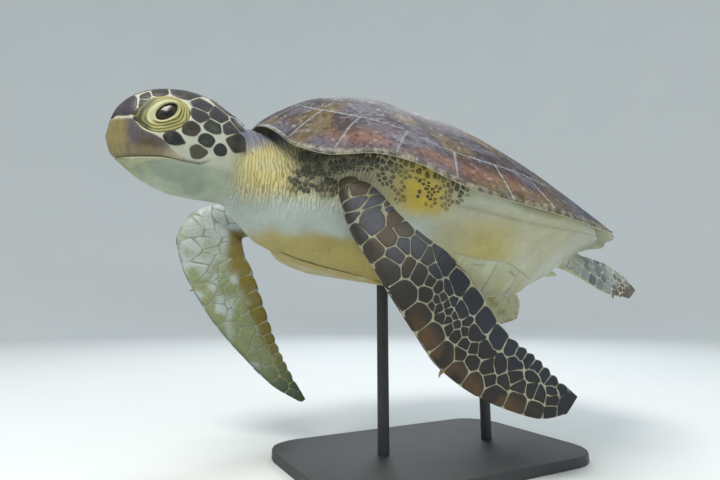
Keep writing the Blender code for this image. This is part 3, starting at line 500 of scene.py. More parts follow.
def scale_shapes(sheet, seeds, sizes, drawn, height, form, stretch=None, bound=None):
    """Scales over a sheet. In each direction round its seed a scale reaches the nearest line halfway to a
    neighbour, shifted by their sizes; a power mean of those reaches rounds the corners. Rings of the dome
    then rise from a foot sunk in the skin. Gives points, faces, (row, column) and share of reach."""
    sides, seam, most, corner = form["sides"], form["seam"], form["most"], form["corner"]
    measure = sheet.measure(*seeds.T)
    turn = round_steps(sides)
    heading = np.column_stack([np.cos(turn), np.sin(turn)])
    chosen = np.flatnonzero(drawn)
    near_count = min(16, len(seeds) - 1)
    reach = np.empty((len(chosen), sides))
    for row, k in enumerate(chosen):
        step = seeds - seeds[k]
        step[:, 1] = wrapped(step[:, 1], sheet.columns)
        near = np.argsort(((step @ measure[k].T) ** 2).sum(1))[1:near_count + 1]
        local = np.einsum("nij,nj->ni", (measure[k] + measure[near]) / 2, step[near])
        far = np.maximum(np.linalg.norm(local, axis=1), 1e-5)
        half = np.maximum((far ** 2 + sizes[k] ** 2 - sizes[near] ** 2) / (2 * far), 0.25 * sizes[k])
        facing = heading @ (local / far[:, None]).T
        to_line = np.where(facing > 0.03, half / np.maximum(facing, 0.03), 1.0) - seam / 2
        widest = most * sizes[k]
        if stretch is not None and stretch[k] is not None:
            ratio, lean = stretch[k]
            along = np.cos(turn - lean)
            widest = widest * ratio / np.sqrt(along ** 2 + (ratio ** 2) * (1 - along ** 2))
        reaches = np.column_stack([to_line, np.broadcast_to(widest, (sides,))])
        reach[row] = (np.maximum(reaches, 1e-4) ** -corner).sum(1) ** (-1 / corner)
    own = seeds[chosen]
    grid_step = np.einsum("nij,nkj->nki", np.linalg.inv(measure[chosen]), reach[:, :, None] * heading[None])
    share, rise = np.array(form["dome"]).T
    lift = rise * np.broadcast_to(height, (len(seeds),))[chosen][:, None]
    place = own[:, None, None, :] + share[None, :, None, None] * grid_step[:, None]
    place[..., 0] = np.clip(place[..., 0], 0.3, sheet.rows - 1.6)
    if bound is not None:
        place[..., 1] = bound(place[..., 1], own[:, 1][:, None, None])
    body = sheet.at(place[..., 0], place[..., 1], np.broadcast_to(lift[:, :, None], place.shape[:3]))
    tops = sheet.at(*own.T, lift[:, -1] * 1.02)
    feet = sheet.at(*own.T, -0.45 * np.abs(lift[:, -1]))
    points = np.concatenate([body.reshape(len(chosen), -1, 3), feet[:, None], tops[:, None]], axis=1)
    quads, caps = tube_faces(len(share), sides)
    block = len(share) * sides + 2
    offset = (np.arange(len(chosen)) * block)[:, None, None]
    where = np.concatenate([place.reshape(len(chosen), -1, 2), np.repeat(own[:, None], 2, axis=1)], axis=1)
    part = np.concatenate([np.repeat(share, sides), [0.0, 0.0]])
    local = np.concatenate([(share[:, None, None] * heading[None]).reshape(-1, 2), np.zeros((2, 2))])
    return dict(points=points.reshape(-1, 3), quads=(quads[None] + offset).reshape(-1, 4),
                caps=(caps[None] + offset).reshape(-1, 3), where=where.reshape(-1, 2),
                share=np.tile(part, len(chosen)), local=np.tile(local, (len(chosen), 1)),
                scale=np.repeat(chosen, block), seeds=seeds)


def bake_places(shape, sheet, island):
    """OFBake map: a patch 0.003 across for each scale, at its root's place on its island of the unwrap."""
    x0, y0, x1, y1 = island
    root = shape["seeds"][shape["scale"]]
    u = x0 + (x1 - x0) * np.clip(root[:, 0] / (sheet.rows - 1), 0, 1)
    v = y0 + (y1 - y0) * (root[:, 1] % sheet.columns) / sheet.columns
    return np.column_stack([u, v]) + 0.0015 * shape["local"]


# ---------------------------------------------------------------- materials

# Inputs by number: MapRange takes a range in 1 and 2 to one in 3 and 4, and Mix's two colours are 6 and 7


def fill_in(item, inputs):
    """Sets or links a node's inputs, by name or number."""
    for key, value in inputs.items():
        if isinstance(value, bpy.types.NodeSocket):
            item.id_data.links.new(value, item.inputs[key])
        else:
            item.inputs[key].default_value = value


def material(name, look):
    """A node material. The look is given the function that adds a node, and says what the shader takes."""
    made = bpy.data.materials.new(name)
    made.use_nodes = True
    nodes = made.node_tree.nodes

    def node(kind, output, inputs=(), **settings):
        """Adds a node with its settings and links, and gives back one of its outputs."""
        item = nodes.new("ShaderNode" + kind)
        for key, value in settings.items():
            setattr(item, key, value)
        fill_in(item, dict(inputs))
        return item.outputs[output]

    fill_in(nodes["Principled BSDF"], look(node))
    return made


def rgba(code):
    """Hex colour as linear red, green, blue and alpha."""
    return (*linear(code), 1.0)


def shaded(node, tint, code, share, amount):
    """A colour multiplied by a shade that runs from the code, where the share is 0, to white."""
    shade = node("Mix", 2, {"Factor": share, 6: rgba(code), 7: rgba("#ffffff")}, data_type="RGBA")
    return node("Mix", 2, {"Factor": amount, 6: tint, 7: shade}, data_type="RGBA", blend_type="MULTIPLY")


def mottled(node, tint, code, size, amount, detail=3.0):
    """A colour clouded with a darker shade by noise of that size in metres."""
    cloud = node("TexNoise", "Fac", {"Vector": node("TexCoord", "Object"), "Scale": 1.0 / size,
                                     "Detail": detail, "Roughness": 0.6})
    return shaded(node, tint, code, cloud, amount)


def shell_horn(node, streak_strength, fleck_strength, roughness):
    """Keratin shell plate grown in rays: fine dark and pale streaks run out from the oldest part of each
    plate, with cloudy blotches; it dries to a satin gloss with faint grooves along the rays."""
    tint = node("Attribute", "Color", attribute_name="Tint")
    growth = node("Attribute", "Vector", attribute_name="Growth")
    place = node("TexCoord", "Object")
    # undersides, where Below is 1, are nearly plain
    below = node("Attribute", "Fac", attribute_name="Below")
    shown = node("MapRange", "Result", {"Value": below, 1: 0.2, 2: 0.6, 3: 1.0, 4: 0.12})
    streaks = node("Math", 0, {0: shown, 1: streak_strength}, operation="MULTIPLY")
    flecks = node("Math", 0, {0: shown, 1: fleck_strength}, operation="MULTIPLY")
    # rays about 1.5 mm wide: Growth runs in metres round the plate and slowly outwards
    rays = node("TexNoise", "Fac", {"Vector": growth, "Scale": 650.0, "Detail": 5.0, "Roughness": 0.68})
    edge = node("MapRange", "Result", {"Value": rays, 1: 0.38, 2: 0.62})
    streaked = shaded(node, tint, "#5d5552", edge, streaks)
    # worn patches 6 mm across, broken into flecks of 1 mm, dark and pale
    worn = node("TexNoise", "Fac", {"Vector": place, "Scale": 160.0, "Detail": 7.0, "Roughness": 0.75})
    pale = node("MapRange", "Result", {"Value": worn, 1: 0.56, 2: 0.66, 4: flecks})
    flecked = node("Mix", 2, {"Factor": pale, 6: streaked, 7: rgba("#b2b3c2")}, data_type="RGBA")
    dark = node("MapRange", "Result", {"Value": worn, 1: 0.46, 2: 0.36, 4: flecks})
    spotted = node("Mix", 2, {"Factor": dark, 6: flecked, 7: rgba("#574c4a")}, data_type="RGBA",
                   blend_type="MULTIPLY")
    fine = node("TexNoise", "Fac", {"Vector": place, "Scale": 900.0, "Detail": 2.0})
    grain = node("Bump", 0, {"Distance": 0.00005, "Height": fine})
    return {"Base Color": mottled(node, spotted, "#b3a79d", 0.014, 0.5),
            "Normal": node("Bump", 0, {"Distance": 0.00012, "Height": rays, "Normal": grain}),
            "Roughness": node("MapRange", "Result", {"Value": rays, 3: roughness - 0.08,
                                                     4: roughness + 0.12}),
            "Specular IOR Level": 0.24, "Coat Weight": 0.03, "Coat Roughness": 0.30}


def scale_keratin(node):
    """Smooth keratin scales, dark and slightly glossy, clouded with brown within each scale."""
    tint = node("Attribute", "Color", attribute_name="Tint")
    place = node("TexCoord", "Object")
    grain = node("TexNoise", "Fac", {"Vector": place, "Scale": 1400.0, "Detail": 2.0})
    return {"Base Color": mottled(node, tint, "#8f867c", 0.0035, 0.7, detail=6.0),
            "Normal": node("Bump", 0, {"Distance": 0.00006, "Height": grain}),
            "Roughness": node("MapRange", "Result", {"Value": grain, 3: 0.40, 4: 0.54}),
            "Specular IOR Level": 0.38, "Coat Weight": 0.05, "Coat Roughness": 0.25}


def turtle_hide(node):
    """Leathery skin, matt and creased: pebbled with tiny scales 1.6 mm across where the Pebble value is
    high, and drawn into fine wrinkles round the neck where the Crease value is high, their furrows darkened
    with painted shade."""
    tint = node("Attribute", "Color", attribute_name="Tint")
    crease = node("Attribute", "Fac", attribute_name="Crease")
    pebble = node("Attribute", "Fac", attribute_name="Pebble")
    place = node("TexCoord", "Object")
    cells = node("TexVoronoi", "Distance", {"Vector": place, "Scale": 620.0}, feature="DISTANCE_TO_EDGE")
    round_top = node("MapRange", "Result", {"Value": cells, 1: 0.0, 2: 0.16})
    pebbled = node("Math", 0, {0: round_top, 1: pebble}, operation="MULTIPLY")
    # wrinkles 2.4 mm apart run up and down across the neck and wander
    drawn = node("Mapping", "Vector", {"Vector": place, "Scale": (1.0, 1.0, 0.45)})
    folds = node("TexWave", "Fac", {"Vector": drawn, "Scale": 131.0, "Distortion": 10.5, "Detail": 4.0,
                                    "Detail Scale": 1.1, "Detail Roughness": 0.65}, bands_direction="Y")
    ridge = node("MapRange", "Result", {"Value": folds, 1: 0.05, 2: 0.50})
    creased = node("Math", 0, {0: ridge, 1: crease}, operation="MULTIPLY")
    # painted shade: the tint darkened in the wrinkles' furrows, between their ridges
    dark = node("Math", 0, {0: crease, 1: creased}, operation="SUBTRACT")
    darker = node("Math", 0, {0: dark, 1: 0.52}, operation="MULTIPLY")
    furrow_shaded = node("Mix", 2, {"Factor": darker, 6: tint, 7: rgba("#5a5a52")}, data_type="RGBA",
                 blend_type="MULTIPLY")
    fine = node("TexNoise", "Fac", {"Vector": place, "Scale": 1500.0, "Detail": 2.0})
    first = node("Bump", 0, {"Distance": 0.00008, "Height": fine})
    second = node("Bump", 0, {"Distance": 0.00022, "Height": pebbled, "Normal": first})
    return {"Base Color": mottled(node, furrow_shaded, "#b5b0a4", 0.008, 0.6, detail=6.0),
            "Normal": node("Bump", 0, {"Distance": 0.00045, "Height": creased, "Normal": second}),
            "Roughness": 0.52, "Subsurface Weight": 0.06, "Subsurface Radius": (0.003, 0.002, 0.001)}


def beak_horn(node):
    """Horny beak sheath: olive-tan keratin with upright brown streaks, worn paler along the cutting edge."""
    tint = node("Attribute", "Color", attribute_name="Tint")
    growth = node("Attribute", "Vector", attribute_name="Growth")
    rays = node("TexNoise", "Fac", {"Vector": growth, "Scale": 620.0, "Detail": 4.0, "Roughness": 0.6})
    edge = node("MapRange", "Result", {"Value": rays, 1: 0.38, 2: 0.66})
    streaked = shaded(node, tint, "#8d7f66", edge, 0.38)
    return {"Base Color": mottled(node, streaked, "#b8ab98", 0.006, 0.5),
            "Normal": node("Bump", 0, {"Distance": 0.00012, "Height": rays}),
            "Roughness": 0.42, "Coat Weight": 0.10, "Coat Roughness": 0.25}


def wet_eye(node):
    """Glass museum eye: near-black brown iris under a clear wet-looking cover with a sharp highlight."""
    tint = node("Attribute", "Color", attribute_name="Tint")
    return {"Base Color": mottled(node, tint, "#8c8478", 0.0012, 0.7), "Roughness": 0.18,
            "Specular IOR Level": 0.40, "Coat Weight": 0.12, "Coat Roughness": 0.06}


def claw_horn(node):
    """Claw: yellow-brown horn mottled dark and light by noise, with a dull polish."""
    place = node("TexCoord", "Object")
    noise = node("TexNoise", "Fac", {"Vector": place, "Scale": 420.0, "Detail": 3.0})
    shade = node("Mix", 2, {"Factor": noise, 6: rgba("#4a3a22"), 7: rgba("#a08a58")}, data_type="RGBA")
    return {"Base Color": shade, "Roughness": 0.4,
            "Normal": node("Bump", 0, {"Distance": 0.0001, "Height": noise})}


def powder_coat(node):
    """Powder-coated steel: charcoal polyester powder baked on steel, with orange peel about 1 mm across."""
    place = node("TexCoord", "Object")
    peel = node("TexNoise", "Fac", {"Vector": place, "Scale": 900.0, "Detail": 2.0})
    patch = node("TexNoise", "Fac", {"Vector": place, "Scale": 30.0, "Detail": 3.0})
    shade = node("Mix", 2, {"Factor": patch, 6: rgba("#2b2c2e"), 7: rgba("#38393b")}, data_type="RGBA")
    return {"Base Color": shade,
            "Normal": node("Bump", 0, {"Distance": 0.00012, "Height": peel}),
            "Roughness": node("MapRange", "Result", {"Value": patch, 3: 0.48, 4: 0.62})}


def pale_paper(node):
    """Matt studio paper: nearly white, with broad faint clouds, and no shine to draw the eye."""
    place = node("TexCoord", "Object")
    cloud = node("TexNoise", "Fac", {"Vector": place, "Scale": 2.0})
    shade = node("Mix", 2, {"Factor": cloud, 6: rgba("#dbdfe0"), 7: rgba("#e1e4e4")}, data_type="RGBA")
    return {"Base Color": shade, "Roughness": 0.95}


CARAPACE_HORN = material("carapace_horn", lambda node: shell_horn(node, 0.58, 0.78, 0.56))
PLASTRON_HORN = material("plastron_horn", lambda node: shell_horn(node, 0.12, 0.10, 0.50))
SCALES = material("scale_keratin", scale_keratin)
HIDE = material("turtle_hide", turtle_hide)
BEAK = material("beak_horn", beak_horn)
EYE = material("wet_glass_eye", wet_eye)
CLAW = material("claw_horn", claw_horn)
STEEL = material("powder_coated_steel", powder_coat)


# ---------------------------------------------------------------- surfaces of the flesh

def head_neck_grid():
    """Head and neck as one tube: the skull's oval sections flow into the neck's ellipses between the nape
    and the jaw's corner. Columns crowd towards the sides, where eyes and mouth are."""
    stations = np.concatenate([np.linspace(0.3325, 0.262, 104, endpoint=False),
                               np.linspace(0.262, 0.17, 80, endpoint=False), np.linspace(0.17, 0.095, 30)])
    even = round_steps(208)
    turn = even - 0.25 * np.sin(2 * even)
    x = stations[:, None]
    share = smooth(0.212, 0.234, x)

    def blend(neck, head):
        """From the neck's value to the head's."""
        return neck * (1 - share) + head * share

    top = blend(neck_top(x), head_top(x))
    low = blend(neck_low(x), head_low(x))
    side = blend(neck_side(x), head_side(x))
    level = blend((top + low) / 2, low + WIDEST_LEVEL * (top - low))
    up = np.sin(turn)[None]
    power = blend(1.0, HEAD_ROUNDNESS)
    out = np.sign(np.cos(turn))[None] * np.abs(np.cos(turn))[None] ** power
    y = side * out * (1 - JAW_NARROWING * share * np.clip(-up, 0, 1))
    z = level + np.where(up > 0, (top - level) * up, (level - low) * up)
    return np.stack([np.broadcast_to(x, y.shape), y, z], axis=-1)


def head_reach_sideways(x, z):
    """How far left the head's surface lies at a place along it and a level."""
    top, low, wide = head_top(x), head_low(x), head_side(x)
    level = low + WIDEST_LEVEL * (top - low)
    up = np.where(z > level, (z - level) / (top - level), (z - level) / (level - low))
    up = np.clip(up, -0.999, 0.999)
    return wide * np.sqrt(1 - up ** 2) ** HEAD_ROUNDNESS * (1 - JAW_NARROWING * np.clip(-up, 0, 1))


def pushed(grid, depth):
    """The grid moved inwards along its own normals."""
    return grid - Sheet(grid).normal * np.asarray(depth)[..., None]


def from_oval(forward, up, oval):
    """Distance from an oval's middle as a share of its radius: 1 on the oval."""
    middle, axes, way = oval
    a = (forward - middle[0]) * way[0] + (up - middle[1]) * way[1]
    b = -(forward - middle[0]) * way[1] + (up - middle[1]) * way[0]
    return np.hypot(a / axes[0], b / axes[1])


def oval_points(oval, turn, grow=1.0):
    """Points (forward, up) of an oval at angles from its long way."""
    middle, axes, way = oval
    axes = grow * axes
    return (middle + (axes[0] * np.cos(turn))[:, None] * way
            + (axes[1] * np.sin(turn))[:, None] * np.array([-way[1], way[0]]))


def eye_plane(forward, up):
    """How far out the leaning plane lies that touches the eyeball's front."""
    return EYE_FACE + EYE_LEAN[0] * (forward - OPENING[0, 0]) + EYE_LEAN[1] * (up - OPENING[0, 1])


def eye_front(forward, up):
    """How far out the eyeball's clear front stands: a shallow cap on that plane."""
    away = np.hypot(forward - OPENING[0, 0], up - OPENING[0, 1]) / EYE_ROUND
    return eye_plane(forward, up) - EYE_DEPTH * (1 - np.sqrt(np.maximum(1 - away ** 2, 0)))


def lid_share(forward, up):
    """How far from the rim of the lids (0) a place lies on the way to their outer edge (1)."""
    past_rim = from_oval(forward, up, OPENING) - 1
    to_edge = np.maximum(1 - from_oval(forward, up, LIDS), 0)
    return np.clip(past_rim / np.maximum(past_rim + 3 * to_edge, 1e-6), 0, 1)


def upper_lid(share, forward, up):
    """1 on the smooth pale crescent above and before the eye, falling to 0 outside it."""
    ahead = smooth(-0.004, 0.005, (forward - OPENING[0, 0]) + 0.8 * (up - OPENING[0, 1]))
    return ahead * smooth(0.50, 0.34, share)


def lid_fold(share, forward, up):
    """Height of the folds round the lids, -1 to 1: about four, wandering and fading in and out."""
    place = np.stack([forward, up, 0 * up], axis=-1)
    return (np.sin(share * 2 * np.pi * 4.2 + 6.5 * rough(place, 0.0080, 31))
            * (0.25 + 1.1 * rough(place, 0.006, 33)))


def from_nostril(forward, left, up):
    """Distance from the nearer nostril, counting half the way sideways."""
    return np.hypot(forward - NOSTRIL[0], up - NOSTRIL[2]) + 0.5 * np.abs(np.abs(left) - NOSTRIL[1])


def flesh_head(grid):
    """Head and neck skin: set back under its scales, hollow at the eyes, grooved at the mouth, pitted at the
    nostrils and folded across the neck and throat; and the same surface without hollows and folds."""
    x, y, z = grid[..., 0], grid[..., 1], grid[..., 2]
    depth = BARE_DEPTH + (SKIN_DEPTH - BARE_DEPTH) * smooth(0.205, 0.225, x)
    socket = smooth(1.0, 0.86, from_oval(x, z, LIDS)) * smooth(0.008, 0.014, np.abs(y))
    gape = np.abs(z - mouth_line(x)) * smooth(0.24, 0.25, x)
    groove = bump(gape, 0, 0.0009) * smooth(0.2435, 0.252, x) * smooth(0.0, 0.006, np.abs(y))
    pit = bump(from_nostril(x, y, z), 0, 0.0013)
    # folds of the neck run round it and lean back towards the throat; they die out under the chin
    lean = x + 0.10 * (0.03 - z) + 0.0015 * rough(grid, 0.02, 3)
    strength = smooth(0.228, 0.215, x) * smooth(0.13, 0.165, x) * smooth(-0.062, -0.03, z)
    ripple = np.sin(lean * 2 * np.pi / 0.0052 + 2.0 * rough(grid, 0.011, 5))
    folds = strength * (0.00045 + 0.00035 * ripple)
    wide = np.sin(lean * 2 * np.pi / 0.021 + 1.0) * smooth(0.205, 0.185, x) * smooth(0.10, 0.14, x)
    folds = folds + 0.0009 * (0.5 + 0.5 * wide) * smooth(-0.06, -0.03, z) * smooth(0.205, 0.185, x)
    nape = bump(x - 0.2195 + 0.12 * (z - 0.018), 0, 0.0028) * 0.0012 * smooth(-0.02, 0.0, z)
    throat = smooth(-0.012, -0.024, z) * smooth(0.20, 0.22, x) * smooth(0.31, 0.29, x)
    pleats = 0.00022 * throat * np.sin(z * 2 * np.pi / 0.0034 + 5 * rough(grid, 0.02, 7))
    hollow = depth + SOCKET_DEPTH * socket + 0.0010 * groove + 0.0014 * pit + folds + nape + pleats
    return pushed(grid, hollow), pushed(grid, depth)


# Places of the plates along a front flipper's trailing edge, as shares of its length
TRAILING = np.array([0.365, 0.440, 0.510, 0.580, 0.645, 0.70, 0.745, 0.785, 0.825, 0.865, 0.905, 0.945])


def flipper_grid(stations, rows, columns, notch):
    """Lens sections swept from shoulder or hip to tip, thickest a third back; columns are even steps round
    the section from the leading edge over the first face, the trailing edge and the second face. The
    trailing edge is notched to that depth between its plates."""
    table = np.array(stations)
    along = np.linspace(0, 1, len(table))
    s = np.linspace(0, 1, rows)
    swept = np.column_stack([curve_through(along, values)(s) for values in table.T])
    lead, trail, thick = swept[:, :3], swept[:, 3:6], np.maximum(swept[:, 6] - 2 * SKIN_DEPTH, 0.0008)
    chord = trail - lead
    width = np.linalg.norm(chord, axis=1)
    across = chord / width[:, None]
    reach = run_length((lead + trail) / 2)
    between = (TRAILING[1:] + TRAILING[:-1]) / 2
    width = width - notch * bump(reach[:, None] / reach[-1], between, 0.010).sum(axis=1)
    normal = np.cross(np.gradient((lead + trail) / 2, axis=0), across)
    normal /= np.linalg.norm(normal, axis=1, keepdims=True)
    fine = np.linspace(0, np.pi, 161)
    back = 0.5 - 0.5 * np.cos(fine)
    lens = np.sin(fine) * (1.25 - 0.75 * back)
    grid = np.empty((rows, columns, 3))
    for k in range(rows):
        profile = np.column_stack([back * (width[k] - 2 * SKIN_DEPTH) + SKIN_DEPTH, lens * thick[k] / 2])
        arc = run_length(profile)
        even = np.linspace(0, arc[-1], columns // 2 + 1)
        run = np.column_stack([np.interp(even, arc, profile[:, 0]), np.interp(even, arc, profile[:, 1])])
        run = np.concatenate([run, run[-2:0:-1] * (1, -1)])
        grid[k] = lead[k] + across[k] * run[:, :1] + normal[k] * run[:, 1:]
    return grid


def flank_fold(forward, left):
    """1 along the shallow crease where the marginal plates' undersides meet the flank."""
    place = np.abs(left) / np.maximum(half_width(forward), 0.02)
    return bump(place, 0.885, 0.007) * smooth(0.085, 0.060, forward) * smooth(-0.17, -0.12, forward)


def trunk_grid():
    """Trunk as a tube from the middle of its back, over the edge under the marginal plates, to the middle of
    its belly; columns are angles round the shell."""
    angle = round_steps(240)
    signed = np.where(angle > np.pi, angle - 2 * np.pi, angle)
    edge_x, edge_y = rim_point(np.abs(signed), lip(np.abs(signed)))
    edge_y = edge_y * np.sign(signed + 1e-12)
    upper = np.concatenate([np.linspace(0.04, 0.9, 9), [0.95, 0.985]])
    lower = np.concatenate([[0.995, 0.985], np.linspace(0.97, 0.80, 18, endpoint=False),
                            np.linspace(0.80, 0.03, 44)])
    rings = []
    for share, over in [(share, True) for share in upper] + [(share, False) for share in lower]:
        x, y = edge_x * share, edge_y * share
        level = shell_top(x, y) - SCUTE_THICKNESS - BED - BARE_DEPTH
        if not over:
            depth = BARE_DEPTH + 0.0009 * flank_fold(x, y)
            level = np.minimum(belly(x, y) + depth, level - 0.0010)
        rings.append(np.column_stack([x, y, level]))
    return np.array(rings)


def tail_grid():
    """Tail: a short flattened cone, ringed with shallow folds."""
    turn = round_steps(28)
    t = np.linspace(0, 1, 40)[:, None]
    radius = 0.016 * (1 - t) ** 0.8 + 0.0025 - BARE_DEPTH
    radius = radius - 0.0003 * (0.5 + 0.5 * np.sin(t * 2 * np.pi * 13))
    return np.stack([np.broadcast_to(-0.150 - 0.0715 * t, (40, 28)), radius * np.cos(turn),
                     -0.036 - 0.004 * t + 0.8 * radius * np.sin(turn)], axis=-1)


def eyelids(side):
    """Both lids of one eye as a closed ring: from the rim, which stands just off the eyeball, a fleshy roll
    rises and then sinks into the head's surface; fine folds run round it. The inner wall follows the ball."""
    around = round_steps(150)
    shift = np.arctan2(OPENING[2, 1], OPENING[2, 0]) - np.arctan2(LIDS[2, 1], LIDS[2, 0])
    rim, far = oval_points(OPENING, around), oval_points(LIDS, around + shift)
    t = np.concatenate([np.linspace(0, 0.12, 4, endpoint=False), np.linspace(0.12, 1.06, 34)])
    inner_t = np.linspace(1.06, 0.0, 12)
    outer, inner = [rim[:, None] * (1 - share[None, :, None]) + far[:, None] * share[None, :, None]
                    for share in (t, inner_t)]
    forward, up = outer[..., 0], outer[..., 1]
    out = head_reach_sideways(forward, up)
    share = smooth(0.20, 0.90, t)
    near_rim = np.maximum(eye_front(forward, up) + 0.0010, out - 0.0010)
    level = near_rim * (1 - share) + (out - SKIN_DEPTH) * share
    above = smooth(-0.004, 0.006, (up - OPENING[0, 1]) + 0.4 * (forward - OPENING[0, 0]))
    level = level + (0.0009 + 0.0008 * above) * np.sin(np.pi * np.clip(t / 0.34, 0, 1))
    level = level + 0.0012 * np.sin(np.pi * np.clip(t, 0, 1))
    lids = lid_share(forward, up)
    folds = 0.00028 * (1 - 0.85 * upper_lid(lids, forward, up)) * lid_fold(lids, forward, up)
    level = level + folds * smooth(0.12, 0.3, t) * smooth(1.0, 0.85, t)
    level = level - 0.0022 * smooth(0.90, 1.06, t) - 0.0006 * smooth(0.05, 0.0, t)
    floor = np.maximum(eye_front(inner[..., 0], inner[..., 1]) - 0.0004,
                       head_reach_sideways(inner[..., 0], inner[..., 1]) - SOCKET_DEPTH)
    over = level[:, np.minimum(np.searchsorted(t, inner_t), len(t) - 1)]
    plan = np.concatenate([outer, inner], axis=1)
    level = np.concatenate([level, np.minimum(floor, over - 0.0007)], axis=1)
    return np.stack([plan[..., 0], side * level, plan[..., 1]], axis=-1)


def ring_faces(rows, columns):
    """Quads of a ring closed both ways."""
    r, c = np.meshgrid(np.arange(rows), np.arange(columns), indexing="ij")
    a, b = r * columns + c, r * columns + (c + 1) % columns
    down = ((r + 1) % rows) * columns
    return np.column_stack([a.ravel(), b.ravel(), (down + (c + 1) % columns).ravel(), (down + c).ravel()])


# ---------------------------------------------------------------- markings shared by skin and scales

CREAM, WHITE_SKIN = "#c8cab8", "#b9c6bf"
YELLOW, OCHRE, GREY_PURPLE = "#cfc585", "#b5a45a", "#7f8294"
BROWN_BLACK, BLUE_BLACK, ORANGE_BROWN = "#241f1a", "#1c2430", "#5a4223"


def axilla(p):
    """1 in the hollow behind each front flipper's root, falling to 0 round it."""
    forward, left, up = p[..., 0], np.abs(p[..., 1]), p[..., 2]
    near = spot(forward, left, (0.097, 0.145), (0.021, 0.017))
    return np.clip(1.35 * near, 0, 1) * smooth(-0.034, -0.018, up) * (forward < 0.14)


def shoulder(p):
    """1 over the dark net of the shoulder and neck base, falling to 0 towards neck, chest and flank."""
    forward, up = p[..., 0], p[..., 2]
    wave = 0.014 * (rough(p, 0.014, 9) - 0.5)
    ahead, behind = smooth(0.196, 0.176, forward + wave), smooth(0.060, 0.085, forward)
    return ahead * behind * smooth(-0.026, -0.014, up + wave)


def neck_colour(p):
    """Bare neck and shoulder skin: purple-grey on top, pale yellow down the side, bluish white below, olive
    between the dark scales of the shoulder and bright yellow in the hollow behind the flipper."""
    forward, up = p[..., 0], p[..., 2]
    wave = 0.012 * (rough(p, 0.018, 9) - 0.5)
    return layered(WHITE_SKIN,
                   (YELLOW, smooth(-0.038, -0.012, up + wave) * smooth(0.245, 0.212, forward + wave)),
                   ("#c9cdbf", 0.22 * smooth(0.45, 0.85, rough(p, 0.010, 10))),
                   (GREY_PURPLE, smooth(0.008, 0.030, up + wave)),
                   ("#a19e7e", shoulder(p)),
                   ("#cfb63c", axilla(p) * (0.75 + 0.25 * rough(p, 0.006, 11))))


def skin_colour(p):
    """Colour of the skin at a body point, whichever part it lies on."""
    forward, left, up = p[..., 0], p[..., 1], p[..., 2]
    wide = np.abs(left)
    wave = rough(p, 0.016, 2) - 0.5
    # trunk: cream with ochre clouds under the chest and flanks
    trunk = smooth(0.095, 0.070, forward + 0.01 * wave)
    cloud = smooth(0.42, 0.72, rough(p, 0.055, 21))
    patch = spot(forward, wide, (0.020, 0.142), (0.036, 0.020))
    flank = layered("#c0c6b2", (OCHRE, 0.35 * cloud), ("#b5a23c", 0.75 * patch))
    chest = smooth(-0.049, -0.059, up + 0.008 * wave) * smooth(0.205, 0.18, forward)
    # painted shade: olive-grey darkening along the fold where the skin is pushed in under the marginal plates
    crease = flank_fold(forward, left) * (up < rim_level(np.abs(forward)) + 0.02)
    # limbs: cream seams, with each tip in its plates' colour
    reach = smooth(-0.010, -0.030, up) * smooth(0.100, 0.112, wide) * (belly(forward, left) - up > 0.004)
    hind = smooth(-0.150, -0.165, forward) * (up < belly(forward, left) - 0.003)
    tips = []
    for stations, _, _, _, code, size in LIMBS.values():
        tip = (np.array(stations[-1][:3]) + stations[-1][3:6]) / 2
        tips.append((code, smooth(size, 0.55 * size, np.linalg.norm(p - tip, axis=-1))))
    # head: cream; the jaw and throat darker and greener towards the underside, partly their own olive colour
    #     # and partly painted shade under the head
    jaw = layered("#a9b69f", ("#8f9a62", smooth(0.285, 0.315, forward)),
                  ("#8b9a8c", 0.55 * smooth(0.4, 0.7, rough(p * (0.5, 1, 1), 0.008, 12))))
    face = mixed(CREAM, jaw, smooth(-0.004, -0.014, up))
    colour = layered(neck_colour(p),
                     (flank, trunk * (1 - axilla(p))),
                     (mixed("#b8a648", "#b39a35", cloud), 0.88 * chest * (1 - trunk)),
                     ("#83866c", 0.45 * crease * trunk),
                     (mixed("#9aa294", "#b9b69c", left > 0), reach * (forward > -0.1)),
                     ("#cfcfae", hind), *tips,
                     (face, smooth(0.222, 0.236, forward)))
    return colour * (0.90 + 0.16 * (wave[..., None] + 0.5))


# ---------------------------------------------------------------- skin

def neighbour_mean(points, edges, count):
    """Mean of each point's neighbours."""
    total = np.column_stack([np.bincount(edges[:, 0], points[edges[:, 1], k], count)
                             + np.bincount(edges[:, 1], points[edges[:, 0], k], count) for k in range(3)])
    number = np.bincount(edges[:, 0], minlength=count) + np.bincount(edges[:, 1], minlength=count)
    return total / np.maximum(number, 1)[:, None]


def united(shapes):
    """The union of closed shapes as one mesh, in body coordinates."""
    items = []
    for number, shape in enumerate(shapes):
        mesh = mesh_of(f"flesh_{number}", shape, place=False)
        items.append(new_object(mesh.name, mesh))
    for other in items[1:]:
        join = items[0].modifiers.new(other.name, "BOOLEAN")
        join.operation, join.solver, join.object = "UNION", "MANIFOLD", other
    graph = bpy.context.evaluated_depsgraph_get()
    mesh = bpy.data.meshes.new_from_object(items[0].evaluated_get(graph))
    for item in items:
        bpy.data.objects.remove(item, do_unlink=True)
    return mesh


def arrays_of(mesh):
    """Points, edges and triangles of a mesh."""
    points = np.empty(len(mesh.vertices) * 3)
    mesh.vertices.foreach_get("co", points)
    edges = np.empty(len(mesh.edges) * 2, np.int64)
    mesh.edges.foreach_get("vertices", edges)
    mesh.calc_loop_triangles()
    triangles = np.empty(len(mesh.loop_triangles) * 3, np.int64)
    mesh.loop_triangles.foreach_get("vertices", triangles)
    return points.reshape(-1, 3), edges.reshape(-1, 2), triangles.reshape(-1, 3)


def same_places(points, others):
    """Which points coincide with one of the others, to a hundredth of a millimetre."""
    def keys(p):
        """One whole number for each point's place."""
        q = np.round(p * 1e5).astype(np.int64) + 50000
        return q[:, 0] * 100001 * 100001 + q[:, 1] * 100001 + q[:, 2]
    return np.isin(keys(points), keys(others))


